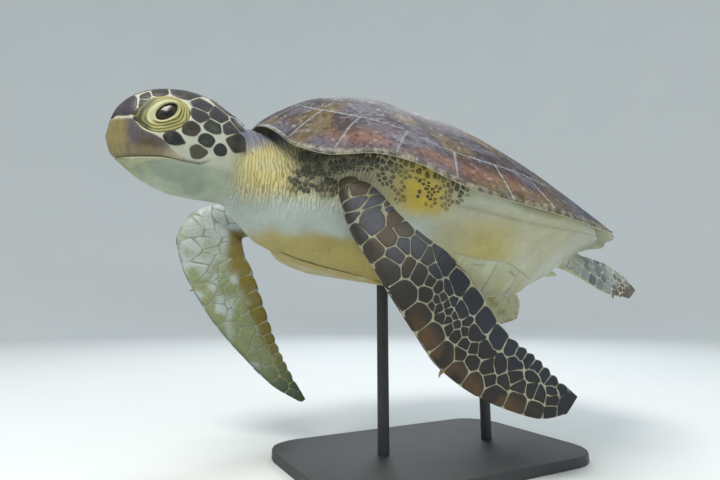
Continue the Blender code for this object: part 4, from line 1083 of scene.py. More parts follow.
def build_skin(head, trunk, limbs, tail):
    """One skin: the flesh shapes united, the creases where they meet relaxed into soft folds, and the
    eyelids let in afterwards so that their edges stay crisp."""
    shapes = [tube(grid) for grid in (trunk, head, *[limb.grid for limb in limbs], tail)]
    points, edges, triangles = arrays_of(united(shapes))
    crease = ~same_places(points, np.concatenate([shape[0] for shape in shapes]))
    near = crease.astype(float)
    for _ in range(9):
        spread = np.zeros_like(near)
        np.maximum.at(spread, edges[:, 0], near[edges[:, 1]])
        np.maximum.at(spread, edges[:, 1], near[edges[:, 0]])
        near = np.maximum(near, spread - 0.11)
    for _ in range(22):
        points = points + 0.5 * near[:, None] * (neighbour_mean(points, edges, len(points)) - points)
    lids = [eyelids(side) for side in (1, -1)]
    mesh = united([(points, triangles)] + [(lid.reshape(-1, 3), ring_faces(*lid.shape[:2])) for lid in lids])
    points, _, triangles = arrays_of(mesh)
    return points, triangles


def lid_colour(forward, up):
    """Olive folds with yellowish ridges: the colour follows the folds' height, partly the lids' own olive and
    partly painted shade in the troughs and painted light on the ridges; a smooth pale crescent above the eye,
    dark folds before it, shaded the same way, a pale outer border and a nearly black rim."""
    share = lid_share(forward, up)
    fold = lid_fold(share, forward, up)
    ahead = smooth(0.40, 0.58, share) * smooth(0.2975, 0.3035, forward) * smooth(0.046, 0.040, up)
    # painted shade and light: the folds' colours follow their height, darker in the troughs, yellowish on the
    # ridges
    return layered(mixed("#68642e", "#b9b26c", smooth(-0.8, 0.4, fold)),
                   ("#c6cb9c", np.maximum(upper_lid(share, forward, up), 0.4 * smooth(0.2, 0.05, share))),
                   (mixed("#3a3b1f", "#7d7a45", smooth(0.2, 0.8, fold)), 0.92 * ahead),
                   ("#d0d3b8", smooth(0.93, 0.995, share)),
                   ("#23231a", smooth(0.035, 0.0, share)))


FLESH_NODES = ("head", "neck", "trunk", "tail", "front_flipper_left", "front_flipper_right",
               "hind_flipper_left", "hind_flipper_right")


def skin_piece(head, trunk, limbs, tail):
    """The skin with its colours, wrinkled round the neck and pebbled over neck, shoulders and jaw, with
    painted shadow in the mouth's slit, the nostrils and the wrinkles' furrows.
    """
    points, triangles = build_skin(head, trunk, limbs, tail)
    forward, left, up = points.T
    on_lid = (np.abs(left) > 0.012) & (from_oval(forward, up, LIDS) < 1.03)
    colour = np.where(on_lid[:, None], lid_colour(forward, up), skin_colour(points))
    # painted shadow: a dark line along the mouth's slit, over its groove, and near-black in the nostril pits
    gape = bump(up, mouth_line(forward), 0.0010) * smooth(0.245, 0.255, forward)
    colour = layered(colour, ("#4d4632", 0.85 * gape * (np.abs(left) > 0.002)),
                     ("#14120f", bump(from_nostril(forward, left, up), 0, 0.0015)))
    # Crease: how strongly the neck's wrinkles show, in relief and as painted shade in their furrows
    neck = smooth(0.234, 0.218, forward) * smooth(0.120, 0.15, forward)
    crease = np.clip(neck * smooth(-0.046, -0.018, up) + 0.18 * smooth(0.09, 0.11, np.abs(left))
                     * smooth(0.05, 0.07, forward) * (up > -0.08), 0, 1)
    crease = crease * (0.55 + 0.75 * rough(points, 0.011, 14))
    jaw = smooth(0.0, -0.012, up) * smooth(0.205, 0.225, forward)
    pebble = np.clip(0.8 * smooth(0.23, 0.22, forward) * smooth(0.03, 0.06, forward) + 0.55 * jaw, 0, 1)
    add_piece("skin", (points, triangles), HIDE, FLESH_NODES, colour,
              {"Crease": crease, "Pebble": pebble})


# ---------------------------------------------------------------- scales

def scales_piece(name, shape, sheet, island, tint):
    """A joined mesh of scales, which lies over the skin and replaces no solid."""
    add_piece(name, (shape["points"], shape["quads"], shape["caps"]), SCALES, (), tint,
              bake=bake_places(shape, sheet, island))


def lot_of(shape, seed):
    """A random value 0 to 1 for each scale, at all of its points."""
    return rough(shape["scale"][:, None] * np.array([[0.37, 0.11, 0.73]]), 0.5, seed)


# How scales are formed: points round each, bare skin between two, longest reach as a share of their size,
# how square their corners are, and their dome as rings of (share of the reach, share of the height)
HEAD_FORM = dict(sides=44, seam=0.0013, most=1.50, corner=16.0, dome=[
    (1.0, -0.5), (1.0, 0.25), (0.96, 0.68), (0.87, 0.9), (0.66, 1.0), (0.44, 1.0), (0.22, 1.0)])
FRONT_FORM = dict(sides=24, seam=0.0010, most=1.9, corner=17.0, dome=[
    (1.0, -0.5), (1.0, 0.25), (0.95, 0.8), (0.78, 1.0), (0.5, 1.0), (0.2, 1.0)])
HIND_FORM = dict(sides=16, seam=0.0010, most=1.6, corner=12.0, dome=[
    (1.0, -0.5), (1.0, 0.25), (0.93, 0.8), (0.7, 1.0), (0.35, 1.0)])
PEBBLE_FORM = dict(sides=10, seam=0.0009, most=1.6, corner=14.0, dome=[(1.0, -0.6), (1.0, 0.35), (0.85, 1.0)])

# Plates of the left side of the head: place (forward, left, up), size, colour, stretch and lean
HEAD_PLATES = {
    "postocular_high": ((0.2655, 0.0303, 0.0440), 0.0068, "#403c44", 1.3, 2.6),
    "postocular_middle": ((0.2670, 0.0355, 0.0337), 0.0066, "#3a383b", 1.15, 0.0),
    "postocular_low": ((0.2722, 0.0386, 0.0192), 0.0056, "#332d22", 1.40, 2.9),
    "under_eye": ((0.2842, 0.0374, 0.0072), 0.0062, "#191e1b", 2.0, 0.30),
    "temple_high": ((0.2485, 0.0327, 0.0382), 0.0080, "#413f45", 1.2, 2.7),
    "temple_middle": ((0.2512, 0.0377, 0.0262), 0.0054, "#333a31", 1.1, 0.0),
    "cheek": ((0.2550, 0.0403, 0.0115), 0.0042, "#2a2f2a", 1.25, 0.0),
    "cheek_rear": ((0.2420, 0.0403, 0.0062), 0.0040, "#26281f", 1.0, 0.0),
    "jaw_corner": ((0.2605, 0.0391, 0.0004), 0.0044, "#524f39", 1.9, 0.2),
    "ear_plate": ((0.2282, 0.0371, 0.0175), 0.0080, "#302d26", 1.0, 0.0),
    "ear_high": ((0.2372, 0.0351, 0.0292), 0.0062, "#3e3d42", 1.0, 0.0),
    "nape_side": ((0.2292, 0.0280, 0.0372), 0.0060, "#434148", 1.1, 0.0),
    "parietal": ((0.2400, 0.0185, 0.0490), 0.0104, "#47454f", 1.15, 0.0),
    "nape_high": ((0.2265, 0.0125, 0.0465), 0.0070, "#44444d", 1.0, 0.0),
    "above_eye": ((0.2795, 0.0210, 0.0512), 0.0100, "#3c393a", 1.35, 0.0),
    "brow": ((0.2985, 0.0180, 0.0475), 0.0064, "#2e2b2a", 1.0, 0.0),
    "brow_front": ((0.3085, 0.0165, 0.0415), 0.0040, "#332e33", 1.0, 0.0),
    "before_eye_high": ((0.3112, 0.0205, 0.0345), 0.0046, "#2a231c", 1.2, 1.2),
    "before_eye": ((0.3142, 0.0212, 0.0260), 0.0044, "#2b2c19", 1.2, 1.2),
    "before_eye_low": ((0.3128, 0.0226, 0.0190), 0.0034, "#36361e", 1.2, 1.2),
    "prefrontal": ((0.3208, 0.0120, 0.0298), 0.0114, "#3b3440", 1.3, 0.0),
}
# Plates on the midline of the crown, given in the same way
CROWN_PLATES = {
    "frontal": ((0.3015, 0.0, 0.0530), 0.0112, "#3b363c", 1.3, 0.0),
    "crown": ((0.2715, 0.0, 0.0597), 0.0136, "#423f49", 1.25, 0.0),
    "hind_crown": ((0.2480, 0.0, 0.0560), 0.0106, "#47454f", 1.0, 0.0),
}


def head_fences():
    """Places of the left side where plates have to stop: lids, beak, corner of the mouth and nape."""
    forward, up = oval_points(LIDS, np.linspace(0, 2 * np.pi, 26, endpoint=False), 0.88).T
    lids = np.column_stack([forward, head_reach_sideways(forward, up), up])
    x = np.linspace(0.272, 0.3255, 15)
    z = beak_line(x) - 0.0030
    beak = np.column_stack([x, head_reach_sideways(x, z), z])
    back = np.linspace(0.236, 0.268, 7)
    corner = np.column_stack([back, head_reach_sideways(back, mouth_line(back)), mouth_line(back) - 0.0035])
    across_nape = ((0.034, 0.004), (0.034, 0.016), (0.029, 0.028), (0.020, 0.037), (0.007, 0.042))
    nape = np.array([(0.2155, y, z) for y, z in across_nape])
    return np.concatenate([lids, beak, corner, nape])


def head_scales(sheet):
    """The named plates of both sides and the crown, which stop at lids, beak and mouth."""
    named = [(np.array(place) * (1, side, 1), size, linear(colour), (ratio, side * lean))
             for plates, sides in ((HEAD_PLATES, (1, -1)), (CROWN_PLATES, (1,)))
             for side in sides for place, size, colour, ratio, lean in plates.values()]
    places, sizes, colours, stretch = zip(*named)
    fences = head_fences()
    fences = np.concatenate([fences, fences * (1, -1, 1)])
    seeds = sheet.nearest(np.concatenate([places, fences]))
    sizes = np.array(sizes + (0.0022,) * len(fences))
    drawn = np.arange(len(sizes)) < len(named)

    def bound(j, own):
        """Keeps a plate on its own side of the crown's midline, unless it lies on it."""
        off = wrapped(own - sheet.columns / 4, sheet.columns)
        moved = off + j - own
        kept = np.where(off > 0, np.maximum(moved, 1.0), np.minimum(moved, -1.0))
        return sheet.columns / 4 + np.where(np.abs(off) < 1, moved, kept)

    shape = scale_shapes(sheet, seeds, sizes, drawn, 0.00075, HEAD_FORM, stretch, bound)
    base = np.array(colours)[np.minimum(shape["scale"], len(named) - 1)]
    tint = layered(base, ("#6d6654", 0.30 * smooth(0.55, 0.80, rough(shape["points"], 0.0050, 41))),
                   ("#8d8b78", smooth(0.90, 1.0, shape["share"]) * 0.45))
    scales_piece("head_scales", shape, sheet, (0.02, 0.02, 0.48, 0.98), tint)


def pebble_dark(p):
    """How dark the small scale at a place is: nearly all of them over the shoulder, some in the hollow."""
    lot, hollow, up = rough(p, 0.0035, 61), axilla(p), p[..., 2]
    dark_lot = smooth(0.22, 0.40, lot + 0.2 * smooth(-0.008, 0.008, up))
    dark = smooth(0.25, 0.65, shoulder(p)) * (1 - hollow) * dark_lot
    return np.maximum(dark, hollow * smooth(0.48, 0.56, lot) * smooth(-0.022, -0.014, up))


def pebble_scales(name, sheet, island, rows, seed, tries, size_of, allowed):
    """Small scales between those rows: nearly black over the shoulder, black flecks in the yellow hollow."""
    seeds, sizes = filled(sheet, [], [], lambda i, j: size_of(sheet.at(i, j)), rows, seed, tries, 0.92,
                          allowed)
    places = sheet.at(*seeds.T)
    dark = pebble_dark(places)
    shape = scale_shapes(sheet, seeds, sizes, dark > 0.3, 0.00024, PEBBLE_FORM)
    tone = mixed("#2b2a22", "#4a4a40", rough(places, 0.0035, 61))
    tint = mixed(neck_colour(places) * 0.92, tone, 0.93 * dark)
    scales_piece(name, shape, sheet, island, tint[shape["scale"]] * (1.05 - 0.2 * shape["share"][:, None]))


def neck_scales(sheet, limbs):
    """Small scales in rows round the base of the neck, dark in a pale net, larger and sparser ahead."""
    def size_of(p):
        """Half a scale's breadth at a place."""
        return 0.0013 + 0.0006 * rough(p, 0.012, 51) + 0.0004 * smooth(0.170, 0.185, p[:, 0])

    def allowed(p):
        """Only over the shoulder's net, and not under shell or flippers."""
        forward, left, up = p.T
        covered = (up > belly(forward, left) - 0.001) & (np.abs(left) < half_width(forward) - 0.006)
        return (shoulder(p) > 0.35) & ~covered & ~inside_limbs(p, limbs)

    pebble_scales("neck_scales", sheet, (0.02, 0.02, 0.48, 0.98), (130, sheet.rows - 2), 5, 36000, size_of,
                  allowed)


def shoulder_scales(sheet, limbs):
    """The same small scales on the trunk's skin round the shoulder, in rows along the rim of the shell."""
    def size_of(p):
        """Half a scale's breadth at a place."""
        return 0.0015 + 0.0007 * rough(p, 0.012, 52) - 0.0003 * axilla(p)

    def allowed(p):
        """Only over the shoulder and the hollow behind it, and not inside neck or flippers."""
        shown = (shoulder(p) > 0.3) | ((axilla(p) > 0.35) & (p[:, 2] > -0.024))
        return shown & (np.abs(p[:, 1]) > 0.075) & ~inside_limbs(p, limbs) & ~inside_neck(p)

    pebble_scales("shoulder_scales", sheet, (0.52, 0.02, 0.70, 0.98), (10, sheet.rows - 3), 6, 90000, size_of,
                  allowed)


def inside_neck(p):
    """Which points lie inside the neck."""
    x = np.clip(p[:, 0], NECK_STATIONS[0], NECK_STATIONS[-1])
    level, tall = (neck_top(x) + neck_low(x)) / 2, (neck_top(x) - neck_low(x)) / 2
    within = (p[:, 1] / neck_side(x)) ** 2 + ((p[:, 2] - level) / tall) ** 2 < 1.0
    return within & (p[:, 0] > NECK_STATIONS[0]) & (p[:, 0] < 0.226)


def inside_limbs(p, limbs):
    """Which points lie inside a flipper, by the side of its nearest surface point."""
    found = np.zeros(len(p), bool)
    for limb in limbs[:2]:
        surface = limb.grid[:60:2, ::3].reshape(-1, 3)
        normals = limb.normal[:60:2, ::3].reshape(-1, 3)
        for block in np.array_split(np.arange(len(p)), max(1, len(p) // 1500)):
            far = ((p[block, None] - surface[None]) ** 2).sum(-1)
            near = far.argmin(axis=1)
            behind = ((p[block] - surface[near]) * normals[near]).sum(-1) < 0.0006
            found[block] |= behind & (far.min(axis=1) < 0.02 ** 2)
    return found


LEADING = np.array([0.28, 0.335, 0.415, 0.480, 0.550, 0.618, 0.680, 0.735, 0.795, 0.855, 0.910, 0.955])
LEADING_SIZES = np.array([0.0100, 0.0115, 0.0120, 0.0122, 0.0120, 0.0112, 0.0098, 0.0098, 0.0098, 0.0092,
                          0.0078, 0.0060])
TRAILING_SIZES = np.array([0.0110, 0.0125, 0.0125, 0.0120, 0.0105, 0.0078, 0.0066, 0.0062, 0.0060, 0.0056,
                           0.0050, 0.0045])
# Plates between the edges of a front flipper: share of its length, share of its width, size
ROOT_BANDS = [(0.065 + 0.029 * k, back, 0.0046) for k in range(5)
              for back in ((0.20, 0.52, 0.84) if k % 2 else (0.05, 0.36, 0.68, 0.97))]
INNER_PLATES = np.array(ROOT_BANDS + [
    (0.205, 0.34, 0.0092), (0.200, 0.72, 0.0080), (0.225, 0.07, 0.0095), (0.240, 0.66, 0.0074),
    (0.255, 0.38, 0.0085), (0.270, 0.88, 0.0070), (0.300, 0.66, 0.0078), (0.310, 0.30, 0.0088),
    (0.335, 0.86, 0.0070), (0.375, 0.45, 0.0074), (0.435, 0.36, 0.0072), (0.445, 0.68, 0.0062),
    (0.520, 0.66, 0.0078), (0.600, 0.64, 0.0080), (0.660, 0.60, 0.0070)])


def on_both_faces(limb, rows, across, sizes):
    """Seeds at shares of the width from a flipper's leading edge, on both of its faces."""
    seeds = [np.column_stack([rows, face * across * limb.half_round]) for face in (1, -1)]
    return np.concatenate(seeds), np.tile(sizes, 2)


def front_flipper_seeds(limb):
    """Named rows of a front flipper: large plates along the leading edge, wrapping it, and along the trailing
    edge, narrow bands and large plates at the root."""
    lead, trail = limb.row(LEADING), limb.row(TRAILING)
    from_lead = np.minimum(0.92 * LEADING_SIZES, 0.30 * limb.girth_at(lead)) / limb.girth_at(lead)
    from_trail = 1 - np.minimum(0.85 * TRAILING_SIZES / limb.girth_at(trail), 0.35)
    return on_both_faces(limb, np.concatenate([lead, trail, limb.row(INNER_PLATES[:, 0])]),
                         np.concatenate([from_lead, from_trail, INNER_PLATES[:, 1]]),
                         np.concatenate([LEADING_SIZES, TRAILING_SIZES, INNER_PLATES[:, 2]]))


def front_flipper_scales(name, limb, island, seed, upper_face):
    """Plates of a front flipper: its named rows, then fill that shrinks to tiny plates at the wrist."""
    seeds, sizes = front_flipper_seeds(limb)

    def squeeze(i, j):
        """Draws plates out across the root, and across the lower face."""
        s = limb.share(i)
        lower = smooth(0.0, 2.0, -upper_face * limb.side(j))
        return 1 / (1 + 1.9 * smooth(0.215, 0.185, s) + 0.9 * lower * smooth(0.75, 0.35, s) * (s > 0.19))

    def size_at(i, j):
        """Half a plate's breadth at a row and column."""
        s = limb.share(i)
        back = np.abs(limb.side(j)) / limb.half_round
        wrist = spot(s, back, (0.50, 0.50), (0.11, 0.24))
        return 0.0062 - 0.0034 * wrist - 0.0016 * smooth(0.7, 1.0, s)

    def bound(j, own):
        """Keeps a plate on its own face at the trailing edge."""
        side = limb.side(own)
        moved, most = limb.side(j - own) + side, limb.half_round - 0.15
        return np.where(side > 0, np.minimum(moved, most), np.maximum(moved, -most))

    squeezed = Limb(limb.grid, squeeze)
    rows = (limb.row(0.21), limb.rows - 5)
    seeds, sizes = filled(squeezed, seeds, sizes, size_at, rows, seed, 6500, 0.86)
    lower = smooth(-1.0, 1.0, -upper_face * limb.side(seeds[:, 1]))
    height = (0.00075 - 0.00030 * smooth(0.75, 1.0, limb.share(seeds[:, 0]))) * (1 - 0.55 * lower)
    shape = scale_shapes(squeezed, seeds, sizes, np.ones(len(seeds), bool), height, FRONT_FORM, bound=bound)
    scales_piece(name, shape, limb, island, front_flipper_tint(shape, limb, seed, upper_face))


def front_flipper_tint(shape, limb, seed, upper_face):
    """Dark upper face, blue-black with warm brown along the leading edge and grey-brown at the root; bluish
    white lower face, olive outwards, with an ochre trailing edge and green tip."""
    row, column = shape["where"].T
    s, face = limb.share(row), limb.side(column)
    back = np.abs(face) / limb.half_round
    lot, cloud = lot_of(shape, seed), rough(shape["points"], 0.012, 71)
    orange = smooth(0.34, 0.10, back + 0.30 * (cloud - 0.5)) * smooth(0.40, 0.54, s)
    dark = layered(mixed(BROWN_BLACK, BLUE_BLACK, smooth(0.45, 0.75, back + 0.3 * (lot - 0.5))),
                   (mixed("#6b6d76", "#6a5d4c", smooth(0.40, 0.60, lot)),
                    0.80 * smooth(0.42, 0.22, s) * smooth(0.16, 0.30, back + 0.2 * cloud)),
                   ("#3c372c", 0.6 * smooth(0.45, 0.36, s) * smooth(0.35, 0.1, back)),
                   (ORANGE_BROWN, 0.80 * orange * smooth(0.97, 0.80, s) * smooth(0.25, 0.5, cloud)),
                   ("#101a26", 0.7 * smooth(0.88, 0.97, s)))
    dark = dark * (0.70 + 0.7 * lot[:, None])
    worn = dark * 0.6 + linear("#77746a") * 0.12
    dark = mixed(dark, worn, smooth(0.82, 1.0, shape["share"]) * 0.6)
    olive = smooth(0.35, 0.75, cloud + 0.35 * smooth(0.35, 0.85, s)) * smooth(0.22, 0.55, s)
    pale = layered(mixed("#bcc9c8", "#919c6e", olive),
                   ("#7d6f1e", 0.92 * smooth(0.66, 0.80, back + 0.12 * (cloud - 0.5))
                    * smooth(0.18, 0.26, s) * smooth(0.95, 0.75, s)),
                   ("#4c6650", 0.75 * smooth(0.16, 0.02, back) * smooth(0.55, 0.75, s)),
                   ("#3f5a42", 0.85 * smooth(0.80, 0.95, s)))
    shown_up = smooth(-0.5, 0.5, face * upper_face + 1.0 * (back < 0.5))
    return mixed(pale * (0.92 + 0.16 * lot[:, None]), dark, shown_up)


def hind_flipper_scales(name, limb, island, seed, upper_face):
    """Plates of a hind flipper: blue-grey above, white and yellow below, brown towards the tip."""
    leading = np.linspace(0.25, 0.95, 9)
    rows, size = limb.row(leading), 0.0078 - 0.0035 * smooth(0.6, 1.0, leading)
    seeds, sizes = on_both_faces(limb, rows, 0.8 * size / limb.girth_at(rows), size)

    def size_at(i, _):
        """Half a plate's breadth at a row."""
        s = limb.share(i)
        return 0.0052 - 0.0022 * smooth(0.5, 1.0, s) - 0.001 * smooth(0.3, 0.1, s)

    seeds, sizes = filled(limb, seeds, sizes, size_at, (limb.row(0.10), limb.rows - 5), seed, 2600, 0.86)
    shape = scale_shapes(limb, seeds, sizes, np.ones(len(seeds), bool), 0.0005, HIND_FORM)
    row, column = shape["where"].T
    s, lot, cloud = limb.share(row), lot_of(shape, seed), rough(shape["points"], 0.010, 73)
    upper = layered(mixed("#a3adab", "#6f777a", smooth(0.35, 0.75, lot + 0.5 * (s - 0.5))),
                    ("#c9cbb4", smooth(0.45, 0.25, s)),
                    ("#5d4a30", 0.7 * smooth(0.72, 0.95, s + 0.3 * (cloud - 0.5))))
    lower = layered(mixed("#dcdcb4", "#c0b468", 0.8 * smooth(0.45, 0.8, cloud)),
                    ("#9a9160", 0.22 * smooth(0.6, 0.85, cloud + 0.3 * s)))
    tint = mixed(lower, upper, smooth(-0.5, 0.5, limb.side(column) * upper_face))
    scales_piece(name, shape, limb, island, tint)


# ---------------------------------------------------------------- shell plates

def closed_outline(corners, spacing):
    """Corners joined by straight steps no longer than the spacing."""
    corners = np.asarray(corners, float)
    after = np.roll(corners, -1, axis=0)
    pieces = []
    for a, b in zip(corners, after):
        count = max(1, int(np.ceil(np.hypot(*(b - a)) / spacing - 1e-6)))
        pieces.append(a + (b - a) * (np.arange(count) / count)[:, None])
    return np.concatenate(pieces)


def drawn_in(outline, distance):
    """The outline moved inwards by the distance, along the mean normal of its two sides at each point."""
    step = np.roll(outline, -1, axis=0) - outline
    step /= np.maximum(np.linalg.norm(step, axis=1, keepdims=True), 1e-9)
    normal = np.column_stack([-step[:, 1], step[:, 0]])
    area = np.sum(outline[:, 0] * np.roll(outline[:, 1], -1) - outline[:, 1] * np.roll(outline[:, 0], -1))
    mean = normal + np.roll(normal, 1, axis=0)
    mean /= np.maximum(np.linalg.norm(mean, axis=1, keepdims=True), 0.6)
    return outline + np.sign(area) * mean * distance


# Distances of a plate's last rings from its edge
EDGE_STEPS = np.array([0.0046, 0.0030, 0.0019, 0.0011, 0.0005, 0.0])


def plate(corners, core, kind):
    """One plate as a closed tube: rings spread from its oldest point to its outline, on the surface, and
    turn down over a rounded edge and back underneath. Shallow steps of growth run round it."""
    surface, base = kind["surface"], kind["base"]
    outline = drawn_in(closed_outline(corners, kind["spacing"]), PLATE_HALF_GAP)
    reach = np.linalg.norm(outline - core, axis=1)
    count = max(5, int(np.mean(reach) / 0.0028))
    edge_shares = 1 - np.minimum(EDGE_STEPS[:, None], 0.16 * reach[None]) * (EDGE_STEPS[:, None] > 0) / reach
    inner = np.linspace(0.06, 1.0, count, endpoint=False)[:, None] * edge_shares[0]
    shares = np.concatenate([inner, edge_shares])
    plan = core + shares[..., None] * (outline - core)
    from_edge = (1 - shares) * reach
    wander = 1.5 * rough(np.dstack([plan, np.zeros(plan.shape[:2])]), 0.02, 81)
    steps = np.sin(shares ** 1.3 * reach.mean() / 0.0042 * 2 * np.pi + wander)
    drop = 0.0010 * (1 - np.clip(from_edge / 0.0022, 0, 1)) ** 2 + 0.00013 * (1 - steps) * (from_edge > 0.002)
    top = surface(plan[..., 0], plan[..., 1]) - kind["under"] * drop
    flat = core + (0.995 - np.array([0.0, 0.06, 0.5]))[:, None, None] * (outline - core)
    side = 0.25 * surface(*outline.T) + 0.75 * base(*outline.T)
    grid = np.concatenate([np.dstack([plan, top]), np.column_stack([outline, side])[None],
                           np.dstack([flat, base(flat[..., 0], flat[..., 1])])])
    shape = tube(grid, start=(*core, float(surface(core[0], core[1]))))
    # Growth: round the plate on a circle of its own girth, and a third of the way out along each ray
    arc = run_length(outline)
    girth = arc[-1] + np.linalg.norm(outline[0] - outline[-1])
    turn = arc / girth * 2 * np.pi
    out = np.concatenate([shares * reach, np.broadcast_to(reach, (4, len(reach)))])
    spread = np.clip(out / np.mean(reach), 0.25, 1.0) * girth / (2 * np.pi)
    growth = np.dstack([spread * np.cos(turn), spread * np.sin(turn), 0.30 * out])
    # Edge: distance from the plate's edge; Below: 0 above, 1 underneath
    under_edge = np.broadcast_to(np.array([[0.0], [0.002], [0.02]]), (3, len(reach)))
    edge = np.concatenate([from_edge, np.zeros((1, len(reach))), under_edge])
    below = np.concatenate([np.zeros(len(shares)), [0.22], np.ones(3)])[:, None] * np.ones(len(reach))
    return dict(shape=shape, growth=np.concatenate([growth.reshape(-1, 3), np.zeros((2, 3))]),
                edge=np.append(edge, [0.02, 0.02]), below=np.append(below, [0.0, 1.0]))


def carapace_colour(p, item, marginal, seed):
    """Plate colours: purple-brown with tan and olive clouds, a warm band and cream freckled rim on the
    marginals, darker and bluer to the rear, cream seams and undersides."""
    forward, left, _ = p.T
    cloud, blotch = rough(p, 0.020, seed), rough(p, 0.034, 84)
    fleck = rough(p, 0.0045, seed + 9)
    seam = smooth(0.00125, 0.0006, item["edge"]) * (item["below"] < 0.9)
    colour = layered(mixed("#6e6975", "#524444", smooth(0.35, 0.65, cloud)),
                     ("#857449", 0.8 * smooth(0.60, 0.74, blotch) * smooth(-0.16, 0.0, forward)),
                     ("#8d8791", 0.6 * smooth(0.36, 0.20, blotch)),
                     ("#3a4760", 0.80 * smooth(0.03, -0.13, forward)),
                     ("#332b2c", 0.6 * smooth(0.58, 0.76, fleck)))
    if marginal:
        rim = 0.9 * np.maximum(half_width(forward) - np.abs(left), 0)
        warm = bump(rim, 0.014, 0.008) * smooth(-0.05, 0.05, forward) * smooth(0.19, 0.15, forward)
        pale = mixed("#b0aa8e", "#5b554a", 0.8 * smooth(0.48, 0.60, fleck))
        colour = layered(colour, ("#a87a60", 0.65 * warm * smooth(0.25, 0.5, cloud)),
                         (pale, 0.80 * smooth(0.0040, 0.0010, rim + 0.006 * (cloud - 0.5))))
        seam = seam * smooth(0.0006, 0.0030, rim)
    under = mixed("#e6e5cc", "#b9b59c", 0.3 * smooth(0.60, 0.72, fleck))
    return layered(colour, (under, smooth(0.2, 0.6, item["below"])), ("#bcc5cc", 0.85 * seam))


def belly_colour(p, item, seed):
    """Plastron and bridge: smooth grey-cream with yellow-ochre hearts and thin brownish seams."""
    cloud = rough(p, 0.030, seed)
    heart = smooth(0.0, 0.030, item["edge"] + 0.022 * (cloud - 0.5))
    front = smooth(0.015, 0.080, p[:, 0])
    return layered("#bcc1a2", ("#b8a03a", (0.42 + 0.50 * front) * np.maximum(heart, 0.75 * front)),
                   ("#d8dac6", 0.4 * smooth(0.6, 0.8, rough(p, 0.012, seed + 3))),
                   ("#8f9075", 0.55 * smooth(0.0006, 0.0002, item["edge"])))


def plates_piece(name, outlines, colour, kind):
    """A piece of one or more plates, each given by its outline and its oldest point."""
    items = [plate(corners, np.array(core), kind) for corners, core in outlines]
    shape = put_together([item["shape"] for item in items])
    gathered = {key: np.concatenate([item[key] for item in items]) for key in ("edge", "below")}
    growth = np.concatenate([item["growth"] + (0.37 * k, 0.0, 0.0) for k, item in enumerate(items)])
    add_piece(name + "_plates", shape, kind["horn"], (name,), colour(shape[0], gathered),
              {"Growth": growth, "Below": gathered["below"]})


def inner_run(first, last, side):
    """The inner line of the marginal row on one side between two of its seams, in five steps a plate."""
    angle = seam_angle(np.linspace(first, last, (last - first) * 5 + 1))
    return np.column_stack(rim_point(angle, inner_line(angle))) * (1, side)


def both(points):
    """An outline's left half, given from front to back, and its mirror image back to the front."""
    left = np.array(points)
    back = left[::-1][np.abs(left[::-1, 1]) > 1e-9]
    return np.concatenate([left, back * (1, -1)])


def centre_of(corners, back=0.0, inwards=0.0):
    """Middle of the corners, moved back towards the hind edge and inwards towards the ridge, as shares."""
    low, high = corners.min(axis=0), corners.max(axis=0)
    middle = (low + high) / 2
    near_ridge = low[1] if middle[1] > 0 else high[1]
    return (middle[0] + back * (low[0] - middle[0]), middle[1] + inwards * (near_ridge - middle[1]))


def ridge_outlines():
    """The nape plate and the five vertebral plates."""
    angle = np.linspace(float(seam_angle(0)), 0, 9)
    edge = np.column_stack(rim_point(angle, on_nape(angle)))
    corner = inner_run(0, 0, 1)[0]
    notch = (corner[0] + 0.001, 0.0)
    nuchal = np.concatenate([edge, edge[-2::-1] * (1, -1), [corner * (1, -1), notch, corner]])
    pieces = {"nuchal": [(nuchal, centre_of(nuchal, 0.2))]}
    first = both([*inner_run(0, 1, 1), VERTEBRAL_SEAMS[0]])
    pieces["vertebral_1"] = [(np.concatenate([first, [notch]]), centre_of(first, 0.4))]
    for k in range(3):
        corners = both([VERTEBRAL_SEAMS[k], VERTEBRAL_CORNERS[k], VERTEBRAL_SEAMS[k + 1]])
        pieces[f"vertebral_{k + 2}"] = [(corners, centre_of(corners, 0.45))]
    corners = both([VERTEBRAL_SEAMS[3], LAST_CORNER, *inner_run(11, 12, 1)])
    pieces["vertebral_5"] = [(corners, centre_of(corners, 0.1))]
    return pieces


def side_outlines(side, name):
    """The four costal plates of one side and its twelve marginal plates in three runs."""
    pieces = {}
    ridge = VERTEBRAL_CORNERS + [LAST_CORNER]
    for k in range(4):
        middle = [ridge[k], VERTEBRAL_SEAMS[k]] + ([ridge[k - 1]] if k > 0 else [])
        outer = inner_run(COSTAL_ENDS[k], COSTAL_ENDS[k + 1], side)
        corners = np.concatenate([outer, np.array(middle) * (1, side)])
        pieces[f"costal_{name}_{k + 1}"] = [(corners, centre_of(corners, 0.35, 0.45))]
    for run, (start, stop) in MARGINAL_RUNS.items():
        outlines = []
        for number in range(start, stop):
            angles = seam_angle(np.linspace(number, number + 1, 13))
            flare = on_rim(np.minimum(angles, seam_angle(number + 0.9999)))
            outer = np.column_stack(rim_point(angles, RIM_DEPTH + flare)) * (1, side)
            corners = np.concatenate([outer, inner_run(number, number + 1, side)[::-1]])
            outlines.append((corners, centre_of(corners, 0.35, -0.1)))
        pieces[f"marginals_{run}_{name}"] = outlines
    return pieces


CARAPACE = dict(surface=lambda x, y: shell_top(x, y) - SHELL_DEPTH,
                base=lambda x, y: shell_top(x, y) - SCUTE_THICKNESS,
                under=1, spacing=0.0030, slot="carapace", horn=CARAPACE_HORN)


def build_carapace():
    """All plates of the upper shell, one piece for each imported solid."""
    pieces = {**ridge_outlines(), **side_outlines(1, "left"), **side_outlines(-1, "right")}
    for number, (name, outlines) in enumerate(pieces.items()):
        rim = name.startswith(("marginals", "nuchal"))
        plates_piece(name, outlines, lambda p, item: carapace_colour(p, item, rim, 100 + number), CARAPACE)


def plastron_base(x, y):
    """Where the plastron's plates lie on the skin."""
    return belly(x, y) + BARE_DEPTH + 0.0004


